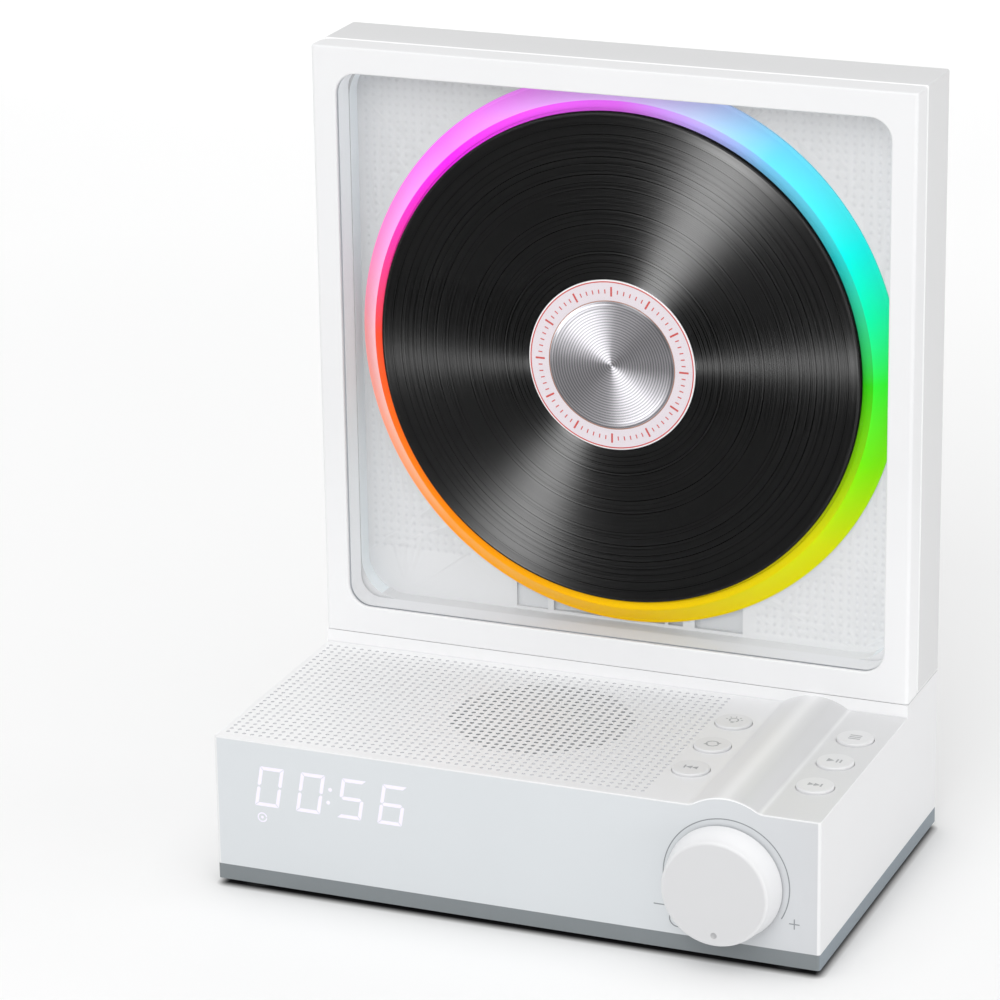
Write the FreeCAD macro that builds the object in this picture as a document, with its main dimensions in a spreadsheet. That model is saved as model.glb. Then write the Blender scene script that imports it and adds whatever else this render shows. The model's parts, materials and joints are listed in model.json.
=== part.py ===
import FreeCAD, Part
import math
import os
import re
import Sketcher
from FreeCAD import Placement, Rotation, Vector

# Upright disc player: a low case with speaker, display, knob and six keys in front, and a tall windowed
# disc compartment behind it. Millimetres, +Z up, front towards -Y. x = 0 is the middle of the case,
# z = 0 is the surface that the feet stand on.

os.makedirs("parts", exist_ok=True)
doc = FreeCAD.newDocument("disc_player")
sheet = doc.addObject("Spreadsheet::Sheet", "Dims")

DIM = {}


def dims(table):
    for name, value, note in table:
        row = len(DIM) + 1
        sheet.set("A%d" % row, name)
        sheet.set("B%d" % row, repr(float(value)))
        sheet.set("C%d" % row, note)
        sheet.setAlias("B%d" % row, name)
        DIM[name] = float(value)


dims([
    ("half_w", 90.0, "half of the case width"),
    ("y_front", -50.0, "face of the front panel"),
    ("y_rear", 59.0, "rear face"),
    ("foot_h", 2.0, "rubber foot height"),
    ("foot_rad", 6.0, "rubber foot radius"),
    ("z_plate", 6.6, "top of the bottom plate"),
    ("z_top", 45.7, "top of the low case"),
    ("z_riser", 49.6, "top of the step under the disc compartment"),
    ("z_all", 227.5, "overall height"),
    ("wall", 2.0, "moulded wall"),
    ("panel_th", 2.0, "front panel thickness"),
    ("panel_edge", 0.85, "white border at the sides of the front panel"),
    ("panel_rim", 0.42, "white border above the front panel"),
    ("y_door", 28.9, "front face of the door"),
    ("y_doorback", 38.1, "rear face of the door"),
    ("y_shell", 38.4, "front edge of the rear shell"),
    ("z_door", 49.8, "bottom of the door"),
    ("win_x", 82.6, "half width of the window"),
    ("win_lo", 58.0, "bottom of the window"),
    ("win_hi", 219.8, "top of the window"),
    ("win_rad", 6.5, "window corner radius"),
    ("lip", 1.0, "front lip that holds the pane"),
    ("rebate", 2.0, "rebate round the window"),
    ("pane_th", 1.0, "clear pane"),
    ("hinge_x", -85.5, "door axis"),
    ("hinge_y", 33.6, "door axis"),
    ("hinge_rad", 1.5, "hinge pin radius"),
    ("run_gap", 0.05, "radial clearance of a running fit"),
    ("knob_x", 62.7, "knob axis and ridge centre"),
    ("knob_z", 24.2, "knob axis"),
    ("knob_base", 16.7, "knob radius at its rear"),
    ("knob_face", 15.2, "knob radius at its face"),
    ("y_knob", -59.0, "knob face"),
    ("y_knobback", -50.6, "knob rear"),
    ("ridge_rad", 17.2, "ridge radius"),
    ("ridge_z", 31.7, "ridge centre height"),
    ("key_rad", 5.3, "key radius"),
    ("key_gap", 0.16, "gap round a key"),
    ("key_up", 0.85, "key stands proud"),
    ("disc_z", 140.4, "disc axis height"),
    ("disc_rad", 60.0, "compact disc radius"),
    ("clamp_rad", 72.9, "record-look clamp disc radius"),
    ("crown_in", 26.0, "radius where the clamp disc's crown is flat"),
    ("crown_out", 70.0, "radius where the clamp disc's crown starts"),
    ("y_crown", 31.9, "top of the clamp disc's crown"),
    ("label_rad", 25.2, "label ring radius"),
    ("hub_rad", 18.9, "metal hub radius"),
    ("ring_in", 69.0, "light ring inner radius"),
    ("ring_front", 75.3, "light ring front radius"),
    ("ring_out", 81.7, "light ring rear radius"),
    ("well_y", 44.0, "floor of the disc well"),
    ("well_corner", 12.0, "corner radius of the disc well"),
    ("spk_x", -7.5, "speaker axis"),
    ("spk_y", -6.3, "speaker axis"),
    ("field_x", -25.225, "middle of the perforated field"),
    ("field_w", 63.525, "half width of the perforated field"),
    ("field_lo", -46.89, "front edge of the perforated field"),
    ("field_hi", 26.91, "rear edge of the perforated field"),
    ("edge_rad", 0.6, "small outer rounding"),
    ("ridge_foot", 4.0, "hollow rounding at the foot of the ridge"),
    ("hole_rad", 0.6, "perforation radius"),
    ("pitch_x", 2.5, "perforation pitch across"),
    ("pitch_y", 2.46, "perforation pitch in depth"),
    ("sled_x", 24.0, "lens position at the innermost track"),
    ("rod_off", 14.0, "guide rod offset from the disc axis"),
    ("rod_rad", 1.5, "guide rod radius"),
    ("gear_drop", 27.6, "gear axis below the disc axis"),
    ("gear_mod", 0.6, "gear module"),
])
doc.recompute()

WORD = re.compile(r"[A-Za-z_]\w*")


def expr(value):
    if isinstance(value, (int, float)):
        return repr(float(value))
    return WORD.sub(lambda m: "Dims." + m.group(0) if m.group(0) in DIM else m.group(0), value)


def bind(obj, prop, value):
    obj.setExpression(prop, expr(value))


def place(obj, x, y, z):
    bind(obj, "Placement.Base.x", x)
    bind(obj, "Placement.Base.y", y)
    bind(obj, "Placement.Base.z", z)


count = [0]


def uid(stem):
    count[0] += 1
    return "%s_%d" % (stem, count[0])


def box(x0, x1, y0, y1, z0, z1):
    o = doc.addObject("Part::Box", uid("box"))
    bind(o, "Length", "(%s)-(%s)" % (x1, x0))
    bind(o, "Width", "(%s)-(%s)" % (y1, y0))
    bind(o, "Height", "(%s)-(%s)" % (z1, z0))
    place(o, x0, y0, z0)
    return o


TURN = {"z": Rotation(), "y": Rotation(Vector(1, 0, 0), -90), "x": Rotation(Vector(0, 1, 0), 90)}


def cyl(axis, rad, x, y, z, length):
    o = doc.addObject("Part::Cylinder", uid("cyl"))
    o.Placement = Placement(Vector(), TURN[axis])
    bind(o, "Radius", rad)
    bind(o, "Height", length)
    place(o, x, y, z)
    return o


def ycyl(rad, x, z, y0, y1):
    return cyl("y", rad, x, y0, z, "(%s)-(%s)" % (y1, y0))


def zcyl(rad, x, y, z0, z1):
    return cyl("z", rad, x, y, z0, "(%s)-(%s)" % (z1, z0))


def cone(axis, rad0, rad1, x, y, z, length):
    o = doc.addObject("Part::Cone", uid("cone"))
    o.Placement = Placement(Vector(), TURN[axis])
    bind(o, "Radius1", rad0)
    bind(o, "Radius2", rad1)
    bind(o, "Height", length)
    place(o, x, y, z)
    return o


def fuse(*items):
    if len(items) == 1:
        return items[0]
    o = doc.addObject("Part::MultiFuse", uid("fuse"))
    o.Shapes = list(items)
    o.Refine = True
    return o


def cut(base, *tools):
    o = doc.addObject("Part::Cut", uid("cut"))
    o.Base = base
    o.Tool = fuse(*tools)
    o.Refine = True
    return o


def group(*items):
    o = doc.addObject("Part::Compound", uid("group"))
    o.Links = list(items)
    return o


def along(e, axis):
    a, b = e.Vertexes[0].Point, e.Vertexes[-1].Point
    d = b - a
    if d.Length < 1e-6:
        return False
    return abs(abs(getattr(d, axis)) - d.Length) < 1e-6


def mid(e):
    return e.BoundBox.Center


def soften(obj, rad, test):
    # rounds the edges of a solid that pass the test
    doc.recompute()
    picked = [i + 1 for i, e in enumerate(obj.Shape.Edges) if test(e)]
    o = doc.addObject("Part::Fillet", uid("soft"))
    o.Base = obj
    o.Edges = [(i, rad, rad) for i in picked]
    doc.recompute()
    if not picked or o.Shape.isNull() or not o.Shape.isValid():
        raise RuntimeError("rounding failed at %s" % picked)
    return o


NODES = []


def node(name, obj):
    obj.Label = name
    NODES.append((name, obj))
    return obj


# ---- sketched bodies ------------------------------------------------------------------------------

def new_body(name):
    b = doc.addObject("PartDesign::Body", "body_" + name)
    return b


def plane(body, role):
    for f in body.Origin.OriginFeatures:
        if f.Role == role:
            return f


def sketch(body, role, offset):
    sk = body.newObject("Sketcher::SketchObject", uid("sk"))
    sk.AttachmentSupport = [(plane(body, role), "")]
    sk.MapMode = "FlatFace"
    bind(sk, "AttachmentOffset.Base.z", offset)
    return sk


def dim(sk, kind, first, second, value, guess):
    i = sk.addConstraint(Sketcher.Constraint(kind, *first, *second, guess))
    sk.renameConstraint(i, uid("c"))
    sk.setExpression("Constraints." + sk.Constraints[i].Name, expr(value))


def rect(sk, u0, u1, v0, v1):
    # a rectangle whose two opposite corners are tied to the sheet
    base = sk.GeometryCount
    p = [Vector(-20, 60, 0), Vector(20, 60, 0), Vector(20, 120, 0), Vector(-20, 120, 0)]
    for i in range(4):
        sk.addGeometry(Part.LineSegment(p[i], p[(i + 1) % 4]), False)
    for i in range(4):
        sk.addConstraint(Sketcher.Constraint("Coincident", base + i, 2, base + (i + 1) % 4, 1))
    sk.addConstraint(Sketcher.Constraint("Horizontal", base))
    sk.addConstraint(Sketcher.Constraint("Horizontal", base + 2))
    sk.addConstraint(Sketcher.Constraint("Vertical", base + 1))
    sk.addConstraint(Sketcher.Constraint("Vertical", base + 3))
    dim(sk, "DistanceX", (-1, 1), (base, 1), u0, -20)
    dim(sk, "DistanceY", (-1, 1), (base, 1), v0, 60)
    dim(sk, "DistanceX", (-1, 1), (base + 2, 1), u1, 20)
    dim(sk, "DistanceY", (-1, 1), (base + 2, 1), v1, 120)


def circle(sk, u, v, rad):
    g = sk.addGeometry(Part.Circle(Vector(5, 5, 0), Vector(0, 0, 1), 2.0), False)
    dim(sk, "DistanceX", (-1, 1), (g, 3), u, 5)
    dim(sk, "DistanceY", (-1, 1), (g, 3), v, 5)
    i = sk.addConstraint(Sketcher.Constraint("Radius", g, 2.0))
    sk.renameConstraint(i, uid("c"))
    sk.setExpression("Constraints." + sk.Constraints[i].Name, expr(rad))


def pad(body, sk, length, reverse):
    f = body.newObject("PartDesign::Pad", uid("pad"))
    f.Profile = sk
    bind(f, "Length", length)
    f.Reversed = reverse
    doc.recompute()
    return f


def pocket(body, sk, length, reverse):
    before = body.Shape.Volume
    f = body.newObject("PartDesign::Pocket", uid("pocket"))
    f.Profile = sk
    bind(f, "Length", length)
    f.Reversed = reverse
    doc.recompute()
    if body.Shape.Volume > before - 1.0:
        raise RuntimeError("pocket cut nothing: " + f.Name)
    return f


def round_edges(body, feature, rad, test):
    names = []
    for i, e in enumerate(feature.Shape.Edges):
        if test(e):
            names.append("Edge%d" % (i + 1))
    f = body.newObject("PartDesign::Fillet", uid("round"))
    f.Base = (feature, names)
    bind(f, "Radius", rad)
    doc.recompute()
    if not names or "Invalid" in f.State:
        raise RuntimeError("rounding failed: %s %s %s" % (body.Name, rad, names))
    return f


# ---- low case ------------------------------------------------------------------------------------

SCREWS = [(-85.0, -25.0), (-85.0, 24.0), (85.0, 24.0), (42.5, -42.0)]
FEET = [(-80.0, -42.0), (80.0, -42.0), (-80.0, 50.0), (80.0, 50.0)]
POSTS = [(-66.0, 10.0), (-66.0, 46.0), (46.0, 10.0), (46.0, 46.0)]

b = new_body("bottom_plate")
s = sketch(b, "XY_Plane", "foot_h")
rect(s, "-half_w", "half_w", "y_front", "y_rear")
plate = pad(b, s, "z_plate-foot_h", False)
round_edges(b, plate, 0.8, lambda e: along(e, "z"))
s = sketch(b, "XY_Plane", "foot_h")
for x, y in SCREWS:
    circle(s, x, y, 1.7)
pocket(b, s, "z_plate-foot_h", True)
s = sketch(b, "XY_Plane", "foot_h")
for x, y in SCREWS:
    circle(s, x, y, 3.4)
pocket(b, s, 1.9, True)
s = sketch(b, "XY_Plane", "z_plate")
for x, y in POSTS:
    circle(s, x, y, 2.4)
pad(b, s, 3.0, False)
node("bottom_plate", b)

node("rubber_feet", group(*[zcyl("foot_rad", x, y, 0, "foot_h") for x, y in FEET]))

node("case_screws", group(*[
    cut(fuse(zcyl(3.0, x, y, 2.3, 3.9), zcyl(1.5, x, y, 3.5, 16.0)),
        box(x - 1.7, x + 1.7, y - 0.4, y + 0.4, 2.0, 3.3),
        box(x - 0.4, x + 0.4, y - 1.7, y + 1.7, 2.0, 3.3)) for x, y in SCREWS]))

KEYS = [
    ("key_lamp", 44.9, 8.7), ("key_repeat", 44.9, -9.4), ("key_previous", 44.9, -27.3),
    ("key_mode", 80.9, 8.7), ("key_play_pause", 80.9, -9.4), ("key_next", 80.9, -27.3),
]
SHELL_SCREWS = [(-60.0, 50.0), (10.0, 50.0), (60.0, 50.0)]

outer = fuse(
    box("-half_w", "half_w", "y_front", "y_rear", "z_plate", "z_top"),
    box("-half_w", "half_w", "y_door", "y_rear", "z_top-1", "z_riser"),
    ycyl("ridge_rad", "knob_x", "ridge_z", "y_front", "y_door+0.5"),
)
TOPZ, HW, YF, YR, YD, ZR = (DIM[k] for k in ("z_top", "half_w", "y_front", "y_rear", "y_door", "z_riser"))
ER = DIM["edge_rad"]


def near(a, b):
    return abs(a - b) < 1e-3


outer = soften(outer, DIM["ridge_foot"], lambda e: along(e, "y") and near(mid(e).z, TOPZ) and abs(mid(e).x) < 80)
outer = soften(outer, 0.8, lambda e: along(e, "z") and near(abs(mid(e).x), HW) and (near(mid(e).y, YF) or near(mid(e).y, YR)))
outer = soften(outer, 0.35, lambda e: along(e, "y") and near(mid(e).z, ZR) and near(abs(mid(e).x), HW))
outer = soften(outer, 0.3, lambda e: near(e.BoundBox.YMin, YF) and near(e.BoundBox.YMax, YF) and e.BoundBox.ZMin > TOPZ - 1)


def panel_blank(y0, z0):
    # outline of the front panel: a rectangle with the ridge's arch, hollow roundings at its feet
    p = fuse(box("-half_w+panel_edge", "half_w-panel_edge", y0, "y_front+panel_th", z0, "z_top-panel_rim"),
             ycyl("ridge_rad-panel_rim", "knob_x", "ridge_z", y0, "y_front+panel_th"))
    top = DIM["z_top"] - DIM["panel_rim"]
    return soften(p, DIM["ridge_foot"] + DIM["panel_rim"],
                  lambda e: along(e, "y") and near(mid(e).z, top) and abs(mid(e).x) < 80)


inner = fuse(
    box("-half_w+wall", "half_w-wall", "y_front+panel_th", "y_rear-wall", "z_plate-1", "z_top-wall"),
    box("-half_w+wall", "half_w-wall", "y_door+2.1", "y_rear-wall", "z_top-wall-1", "z_riser-wall"),
    panel_blank("y_front-1", "z_plate-1"),
)
shell = cut(outer, inner)
bosses = [zcyl(3.6, x, y, "z_plate", "z_top-1") for x, y in SCREWS]
bosses += [zcyl(2.2, "knob_x", -33.5, 37.6, "z_top-1"), zcyl(2.2, "knob_x", 14.5, 37.6, "z_top-1")]
bosses += [zcyl(3.4, "hinge_x+0.6", "hinge_y", 43.0, "z_riser-1")]
shell = fuse(shell, *bosses)
holes = [zcyl(1.5, x, y, "z_plate-1", 18.0) for x, y in SCREWS]
holes += [zcyl("key_rad+key_gap", x, y, 40.0, 60.0) for n, x, y in KEYS]
holes += [box("field_x-field_w", "field_x+field_w", "field_lo", "field_hi", "z_top-wall", "z_top+5")]
holes += [zcyl("hinge_rad", "hinge_x", "hinge_y", 44.6, 60.0)]
holes += [zcyl(1.7, x, y, 45.0, 60.0) for x, y in SHELL_SCREWS]
holes += [box(-33.0, -15.0, 48.0, 56.0, 45.0, 60.0)]
holes += [box(30.0, 40.0, 55.0, 61.0, 10.9, 14.7), ycyl(3.1, 55.5, 14.2, 55.0, 61.0)]
node("top_case", cut(shell, *holes))

# perforated plate set flush in the case top: a square grid of holes inside a circle over the speaker
wires = []
for i in range(-11, 12):
    for j in range(-11, 12):
        if i * i + j * j <= 112:
            c = Vector(DIM["spk_x"] + i * DIM["pitch_x"], DIM["spk_y"] + j * DIM["pitch_y"], 0)
            wires.append(Part.Wire(Part.makeCircle(DIM["hole_rad"], c)))
fx0, fx1 = DIM["field_x"] - DIM["field_w"], DIM["field_x"] + DIM["field_w"]
rim = Part.makePolygon([Vector(fx0, DIM["field_lo"], 0), Vector(fx1, DIM["field_lo"], 0),
                        Vector(fx1, DIM["field_hi"], 0), Vector(fx0, DIM["field_hi"], 0),
                        Vector(fx0, DIM["field_lo"], 0)])
face = Part.makeFace([rim] + wires, "Part::FaceMakerBullseye")
grille = doc.addObject("Part::Feature", "speaker_grille")
grille.Shape = face.extrude(Vector(0, 0, DIM["wall"]))
grille.Placement = Placement(Vector(0, 0, DIM["z_top"] - DIM["wall"]), Rotation())
node("speaker_grille", grille)

node("front_panel", cut(
    panel_blank("y_front", "z_plate"),
    ycyl(3.6, "knob_x", "knob_z", "y_front-1", "y_front+panel_th+1")))

# speaker: flanged basket, paper cone, magnet
node("speaker_frame", cut(
    fuse(zcyl(30.5, "spk_x", "spk_y", 42.2, "z_top-wall"),
         cone("z", 13.0, 26.0, "spk_x", "spk_y", 29.0, 13.5)),
    cone("z", 11.6, 24.6, "spk_x", "spk_y", 30.4, 13.5),
    zcyl(24.0, "spk_x", "spk_y", 42.0, 44.5),
    zcyl(6.0, "spk_x", "spk_y", 28.0, 32.0)))
node("speaker_cone", cut(
    fuse(cone("z", 7.0, 22.4, "spk_x", "spk_y", 33.0, 9.0), zcyl(5.5, "spk_x", "spk_y", 29.6, 33.6)),
    cone("z", 6.0, 21.4, "spk_x", "spk_y", 34.0, 9.0)))
node("speaker_magnet", fuse(zcyl(16.0, "spk_x", "spk_y", 19.0, 29.0), zcyl(4.6, "spk_x", "spk_y", 28.0, 29.4)))

# boards in the low case
board = fuse(box(-72.0, 64.0, 4.0, 56.0, 9.6, 11.2), box(-31.0, -17.0, 50.0, 53.5, 11.0, 14.0),
             box(-10.0, 2.0, 38.0, 50.0, 11.0, 12.4), box(14.0, 22.0, 40.0, 48.0, 11.0, 12.2),
             zcyl(4.0, -52.0, 50.0, 11.0, 19.0), zcyl(4.0, -42.0, 50.0, 11.0, 19.0))
node("main_board", board)
node("bluetooth_module", fuse(box(-64.0, -48.0, 26.0, 40.0, 11.2, 12.2), box(-63.0, -53.0, 27.0, 39.0, 12.0, 14.2)))
node("display_board", box(-84.0, -20.0, -40.8, -39.2, 18.0, 42.5))
node("display_module", box(-81.0, -33.0, "y_front+panel_th", -40.8, 18.4, 42.0))
node("ir_receiver", fuse(box(-30.0, -24.0, -46.0, -40.8, 27.0, 33.0), ycyl(2.4, -27.0, 30.0, -47.4, -45.5)))
node("key_board", box(38.0, 87.5, -36.0, 16.5, 36.0, 37.6))
node("tact_switches", group(*[
    fuse(box(x - 3.0, x + 3.0, y - 3.0, y + 3.0, 37.6, 40.6), zcyl(1.7, x, y, 40.0, 41.6)) for n, x, y in KEYS]))

# push encoder behind the knob
node("encoder_body", cut(
    fuse(box("knob_x-6.5", "knob_x+6.5", "y_front+panel_th", -41.0, "knob_z-6.5", "knob_z+6.5"),
         ycyl(3.5, "knob_x", "knob_z", -51.3, -47.5)),
    ycyl("3.0+run_gap", "knob_x", "knob_z", -52.0, -46.0),
    ycyl(5.2, "knob_x", "knob_z", -46.8, -42.0)))
hexagon = doc.addObject("Part::Prism", "nut_blank")
hexagon.Polygon = 6
hexagon.Circumradius = 5.4
hexagon.Placement = Placement(Vector(), TURN["y"])
bind(hexagon, "Height", 1.4)
place(hexagon, "knob_x", -51.4, "knob_z")
node("encoder_nut", cut(hexagon, ycyl(3.5, "knob_x", "knob_z", -53.0, -49.0)))
node("encoder_plunger", cut(ycyl(4.8, "knob_x", "knob_z", -46.3, -44.8),
                            ycyl("1.5+run_gap", "knob_x", "knob_z", -47.0, -44.0)))
node("encoder_shaft", fuse(ycyl(3.0, "knob_x", "knob_z", -57.0, -46.5), ycyl(1.5, "knob_x", "knob_z", -47.0, -43.4)))

# knob: tapered skirt with a rounded face edge, hollow behind, with a small dimple at the bottom
KLEN = "y_knobback-y_knob"
skirt = cone("y", "knob_face", "knob_base", "knob_x", "y_knob", "knob_z", KLEN)
knob = cut(skirt, ycyl(13.0, "knob_x", "knob_z", -56.4, "y_knobback+1"))
knob = fuse(knob, ycyl(5.2, "knob_x", "knob_z", -57.0, -53.0))
knob = cut(knob, ycyl(3.0, "knob_x", "knob_z", -57.0, -50.0))
doc.recompute()
rim = [i + 1 for i, e in enumerate(knob.Shape.Edges)
       if e.BoundBox.YLength < 1e-6 and abs(e.BoundBox.YMin - DIM["y_knob"]) < 1e-6 and e.BoundBox.XLength > 25]
rounded = doc.addObject("Part::Fillet", "knob_rounded")
rounded.Base = knob
rounded.Edges = [(i, 1.0, 1.0) for i in rim]
dimple = doc.addObject("Part::Sphere", "knob_dimple")
bind(dimple, "Radius", 1.2)
place(dimple, "knob_x", "y_knob-0.75", "knob_z-12.1")
node("volume_knob", cut(rounded, dimple))

# power inlet: a flat socket with its tongue, and a jack with a round bore
node("power_inlet", fuse(
    cut(box(30.5, 39.5, 50.5, 58.8, 11.2, 14.4), box(30.9, 39.1, 52.0, 60.0, 11.6, 14.0)),
    box(31.7, 38.3, 51.0, 57.6, 12.45, 13.15)))
node("aux_jack", cut(fuse(box(52.0, 59.0, 43.0, 57.0, 11.2, 17.2), ycyl(3.0, 55.5, 14.2, 56.0, 59.0)),
                     ycyl(1.8, 55.5, 14.2, 45.0, 60.0)))

# keys: round caps with a flange under the case
for name, x, y in KEYS:
    cap = zcyl("key_rad", x, y, 43.0, "z_top+key_up")
    flange = zcyl("key_rad+1.2", x, y, 42.5, 43.4)
    k = fuse(cap, flange)
    doc.recompute()
    top = [i + 1 for i, e in enumerate(k.Shape.Edges)
           if e.BoundBox.ZLength < 1e-6 and abs(e.BoundBox.ZMin - DIM["z_top"] - DIM["key_up"]) < 1e-6]
    f = doc.addObject("Part::Fillet", uid("keyround"))
    f.Base = k
    f.Edges = [(i, 0.45, 0.45) for i in top]
    node(name, f)

# ---- disc compartment ------------------------------------------------------------------------------

ZA = DIM["z_all"]
rs = box("-half_w", "half_w", "y_shell", "y_rear", "z_riser", "z_all")
rs = soften(rs, 0.8, lambda e: along(e, "z"))
rs = soften(rs, ER, lambda e: near(e.BoundBox.ZMin, ZA))
rs = soften(rs, 0.35, lambda e: near(e.BoundBox.ZMax, ZR))
rs = cut(rs,
         box("-half_w+wall", "half_w-wall", "y_shell-1", "y_rear-wall", "z_riser+wall", "z_all-wall"))
rs = fuse(rs, *[zcyl(3.6, x, y, "z_riser+1", 64.0) for x, y in SHELL_SCREWS])
node("rear_shell", cut(rs, *([zcyl(1.5, x, y, 45.0, 60.0) for x, y in SHELL_SCREWS] +
                             [box(-33.0, -15.0, 48.0, 56.0, 48.0, 53.0)])))
node("shell_screws", group(*[
    fuse(zcyl(3.0, x, y, 46.0, "z_riser-wall"), zcyl(1.5, x, y, 47.0, 58.0)) for x, y in SHELL_SCREWS]))

# disc well: flange behind the door, walls and floor, open for the drive
dz = "disc_z"


def bay(y1):
    # the hollow of the well, with rounded corners
    return soften(box("-win_x", "win_x", 38.0, y1, 57.7, 222.6), DIM["well_corner"], lambda e: along(e, "y"))


flange = cut(box(-87.8, 87.8, 38.7, 40.2, 51.8, 225.3), bay(42.0))
tray = cut(box("-win_x-1.9", "win_x+1.9", 39.0, "well_y+2", 55.8, 224.5), bay("well_y"))
well = fuse(flange, tray)
node("disc_well", cut(
    well,
    box(-20.0, 70.5, 43.0, 47.0, "disc_z-19", "disc_z+19"),
    box(-18.0, 62.5, 43.0, 47.0, "disc_z-43", "disc_z-18"),
    box(-89.0, -82.1, 38.0, 47.0, 221.6, 225.6),
    box(83.6, 88.6, 38.0, 39.6, 129.0, 147.0)))
node("catch_plate", box(84.0, 87.6, 38.8, 39.6, 129.4, 146.6))
node("hinge_bracket", cut(
    fuse(box("hinge_x-2.3", "hinge_x+2.9", "hinge_y", 54.0, 222.0, 224.9),
         box("hinge_x-2.3", "hinge_x+2.9", 43.0, 54.0, 224.0, "z_all-wall"),
         zcyl(2.9, "hinge_x", "hinge_y", 222.0, 224.9)),
    zcyl("hinge_rad+run_gap", "hinge_x", "hinge_y", 220.0, 227.0)))
node("lower_hinge_pin", zcyl("hinge_rad", "hinge_x", "hinge_y", 44.6, 57.4))

node("light_ring", cut(
    fuse(cone("y", "ring_front", "ring_out", 0, 38.0, dz, 5.0), ycyl("ring_out", 0, dz, 43.0, "well_y")),
    ycyl("ring_in", 0, dz, 37.0, 46.0),
    cut(ycyl(74.8, 0, dz, 41.4, 46.0), ycyl(70.2, 0, dz, 41.0, 47.0))))
node("led_ring_board", cut(ycyl(74.4, 0, dz, 42.4, "well_y"), ycyl(70.6, 0, dz, 41.0, 47.0)))

# drive: chassis plate with rod blocks, motors, rods
blocks = []
for side in (-1, 1):
    for x0 in (9.0, 63.5):
        c = "disc_z+%d*rod_off" % side
        blocks.append(box(x0, x0 + 3.0, 42.6, 48.0, c + "-2.6", c + "+2.6"))
chassis = fuse(box(-34.0, 78.0, 47.5, 48.7, "disc_z-47", "disc_z+34"), *blocks)
chassis = fuse(chassis, box(-31.0, -17.0, 48.5, 53.5, "disc_z-44", "disc_z-38"))
GX = DIM["sled_x"]
PX = GX - 12.0
gz = "disc_z-gear_drop"
node("drive_chassis", cut(
    chassis,
    ycyl(3.0, 0, dz, 46.0, 50.0),
    *[cyl("x", "rod_rad", 8.0, 44.6, "disc_z+%d*rod_off" % s, 60.0) for s in (-1, 1)],
    ycyl(1.0, GX, gz, 46.0, 50.0),
    ycyl(2.2, PX, gz, 46.0, 50.0)))
node("drive_dampers", group(*[ycyl(4.0, x, "disc_z+%s" % z, "well_y+2", 47.5)
                              for x, z in ((-28.0, 28.0), (73.0, 28.0), (-28.0, -33.0), (73.0, -40.0))]))
node("spindle_motor", cut(ycyl(12.0, 0, dz, 48.7, 55.0), ycyl("1.0+run_gap", 0, dz, 48.0, 54.2)))
node("guide_rods", group(*[cyl("x", "rod_rad", 9.0, 44.6, "disc_z+%d*rod_off" % s, 57.5) for s in (-1, 1)]))
node("sled_motor", cut(ycyl(7.0, PX, gz, 48.7, 56.0), ycyl("0.75+run_gap", PX, gz, 48.0, 55.0)))
node("gear_axle", ycyl(1.0, GX, gz, 42.8, 48.7))
node("ribbon_cable", box(-30.0, -18.0, 51.6, 51.9, 14.0, "disc_z-44"))

# ---- turning parts ---------------------------------------------------------------------------------

node("spindle_shaft", ycyl(1.0, 0, dz, 38.0, 54.0))
node("turntable_hub", cut(fuse(ycyl(14.0, 0, dz, 38.6, 41.5), ycyl(7.4, 0, dz, 37.4, 39.0)),
                          ycyl(1.0, 0, dz, 38.0, 42.0)))
node("compact_disc", cut(ycyl("disc_rad", 0, dz, 37.4, 38.6), ycyl(7.5, 0, dz, 36.0, 40.0)))
# clamp disc: a thin crowned plate, hollow behind, with a boss that presses on the compact disc
node("record_disc", cut(
    fuse(ycyl("clamp_rad", 0, dz, 35.4, 37.4), cone("y", "crown_in", "crown_out", 0, "y_crown", dz, "35.4-y_crown")),
    cut(cone("y", "crown_in-1.5", "crown_out-1.5", 0, "y_crown+2", dz, "35.4-y_crown"), ycyl(20.0, 0, dz, 33.0, 38.0)),
    ycyl(6.0, 0, dz, 36.2, 38.0)))
node("clamp_magnet", ycyl(6.0, 0, dz, 36.2, 37.4))
node("record_label", cut(ycyl("label_rad", 0, dz, "y_crown-0.3", "y_crown"), ycyl("hub_rad", 0, dz, 30.0, 33.0)))
node("hub_cap", fuse(ycyl("hub_rad", 0, dz, "y_crown-0.3", "y_crown"),
                     cone("y", "hub_rad-0.5", "hub_rad", 0, "y_crown-0.6", dz, 0.3)))


def gear_face(teeth, module, backlash):
    # straight-flanked teeth, thinned for backlash; the first tooth points along local +X
    rp = module * teeth / 2.0
    ra, rf = rp + 0.9 * module, rp - 1.2 * module
    half = math.pi / (2.0 * teeth)
    w = [(rf, half * 1.30), (rp, half * 0.86 - backlash / rp), (ra, half * 0.36)]
    pts = []
    for k in range(teeth):
        a = 2.0 * math.pi * k / teeth
        for r, h in w:
            pts.append(Vector(r * math.cos(a - h), r * math.sin(a - h), 0))
        for r, h in reversed(w):
            pts.append(Vector(r * math.cos(a + h), r * math.sin(a + h), 0))
    pts.append(pts[0])
    return Part.Face(Part.makePolygon(pts))


def stand_gear(solid, x, z, turn):
    # local XY lies in the XZ plane, local Z along +Y, then turned about the axis
    m = solid.copy()
    m.rotate(Vector(0, 0, 0), Vector(0, 0, 1), turn)
    m.rotate(Vector(0, 0, 0), Vector(1, 0, 0), -90)
    m.translate(Vector(x, 0, z))
    return m


MOD = DIM["gear_mod"]
GZ = DIM["disc_z"] - DIM["gear_drop"]


def level(face, y0, y1):
    f = face.copy()
    f.translate(Vector(0, 0, y0))
    return f.extrude(Vector(0, 0, y1 - y0))


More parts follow.
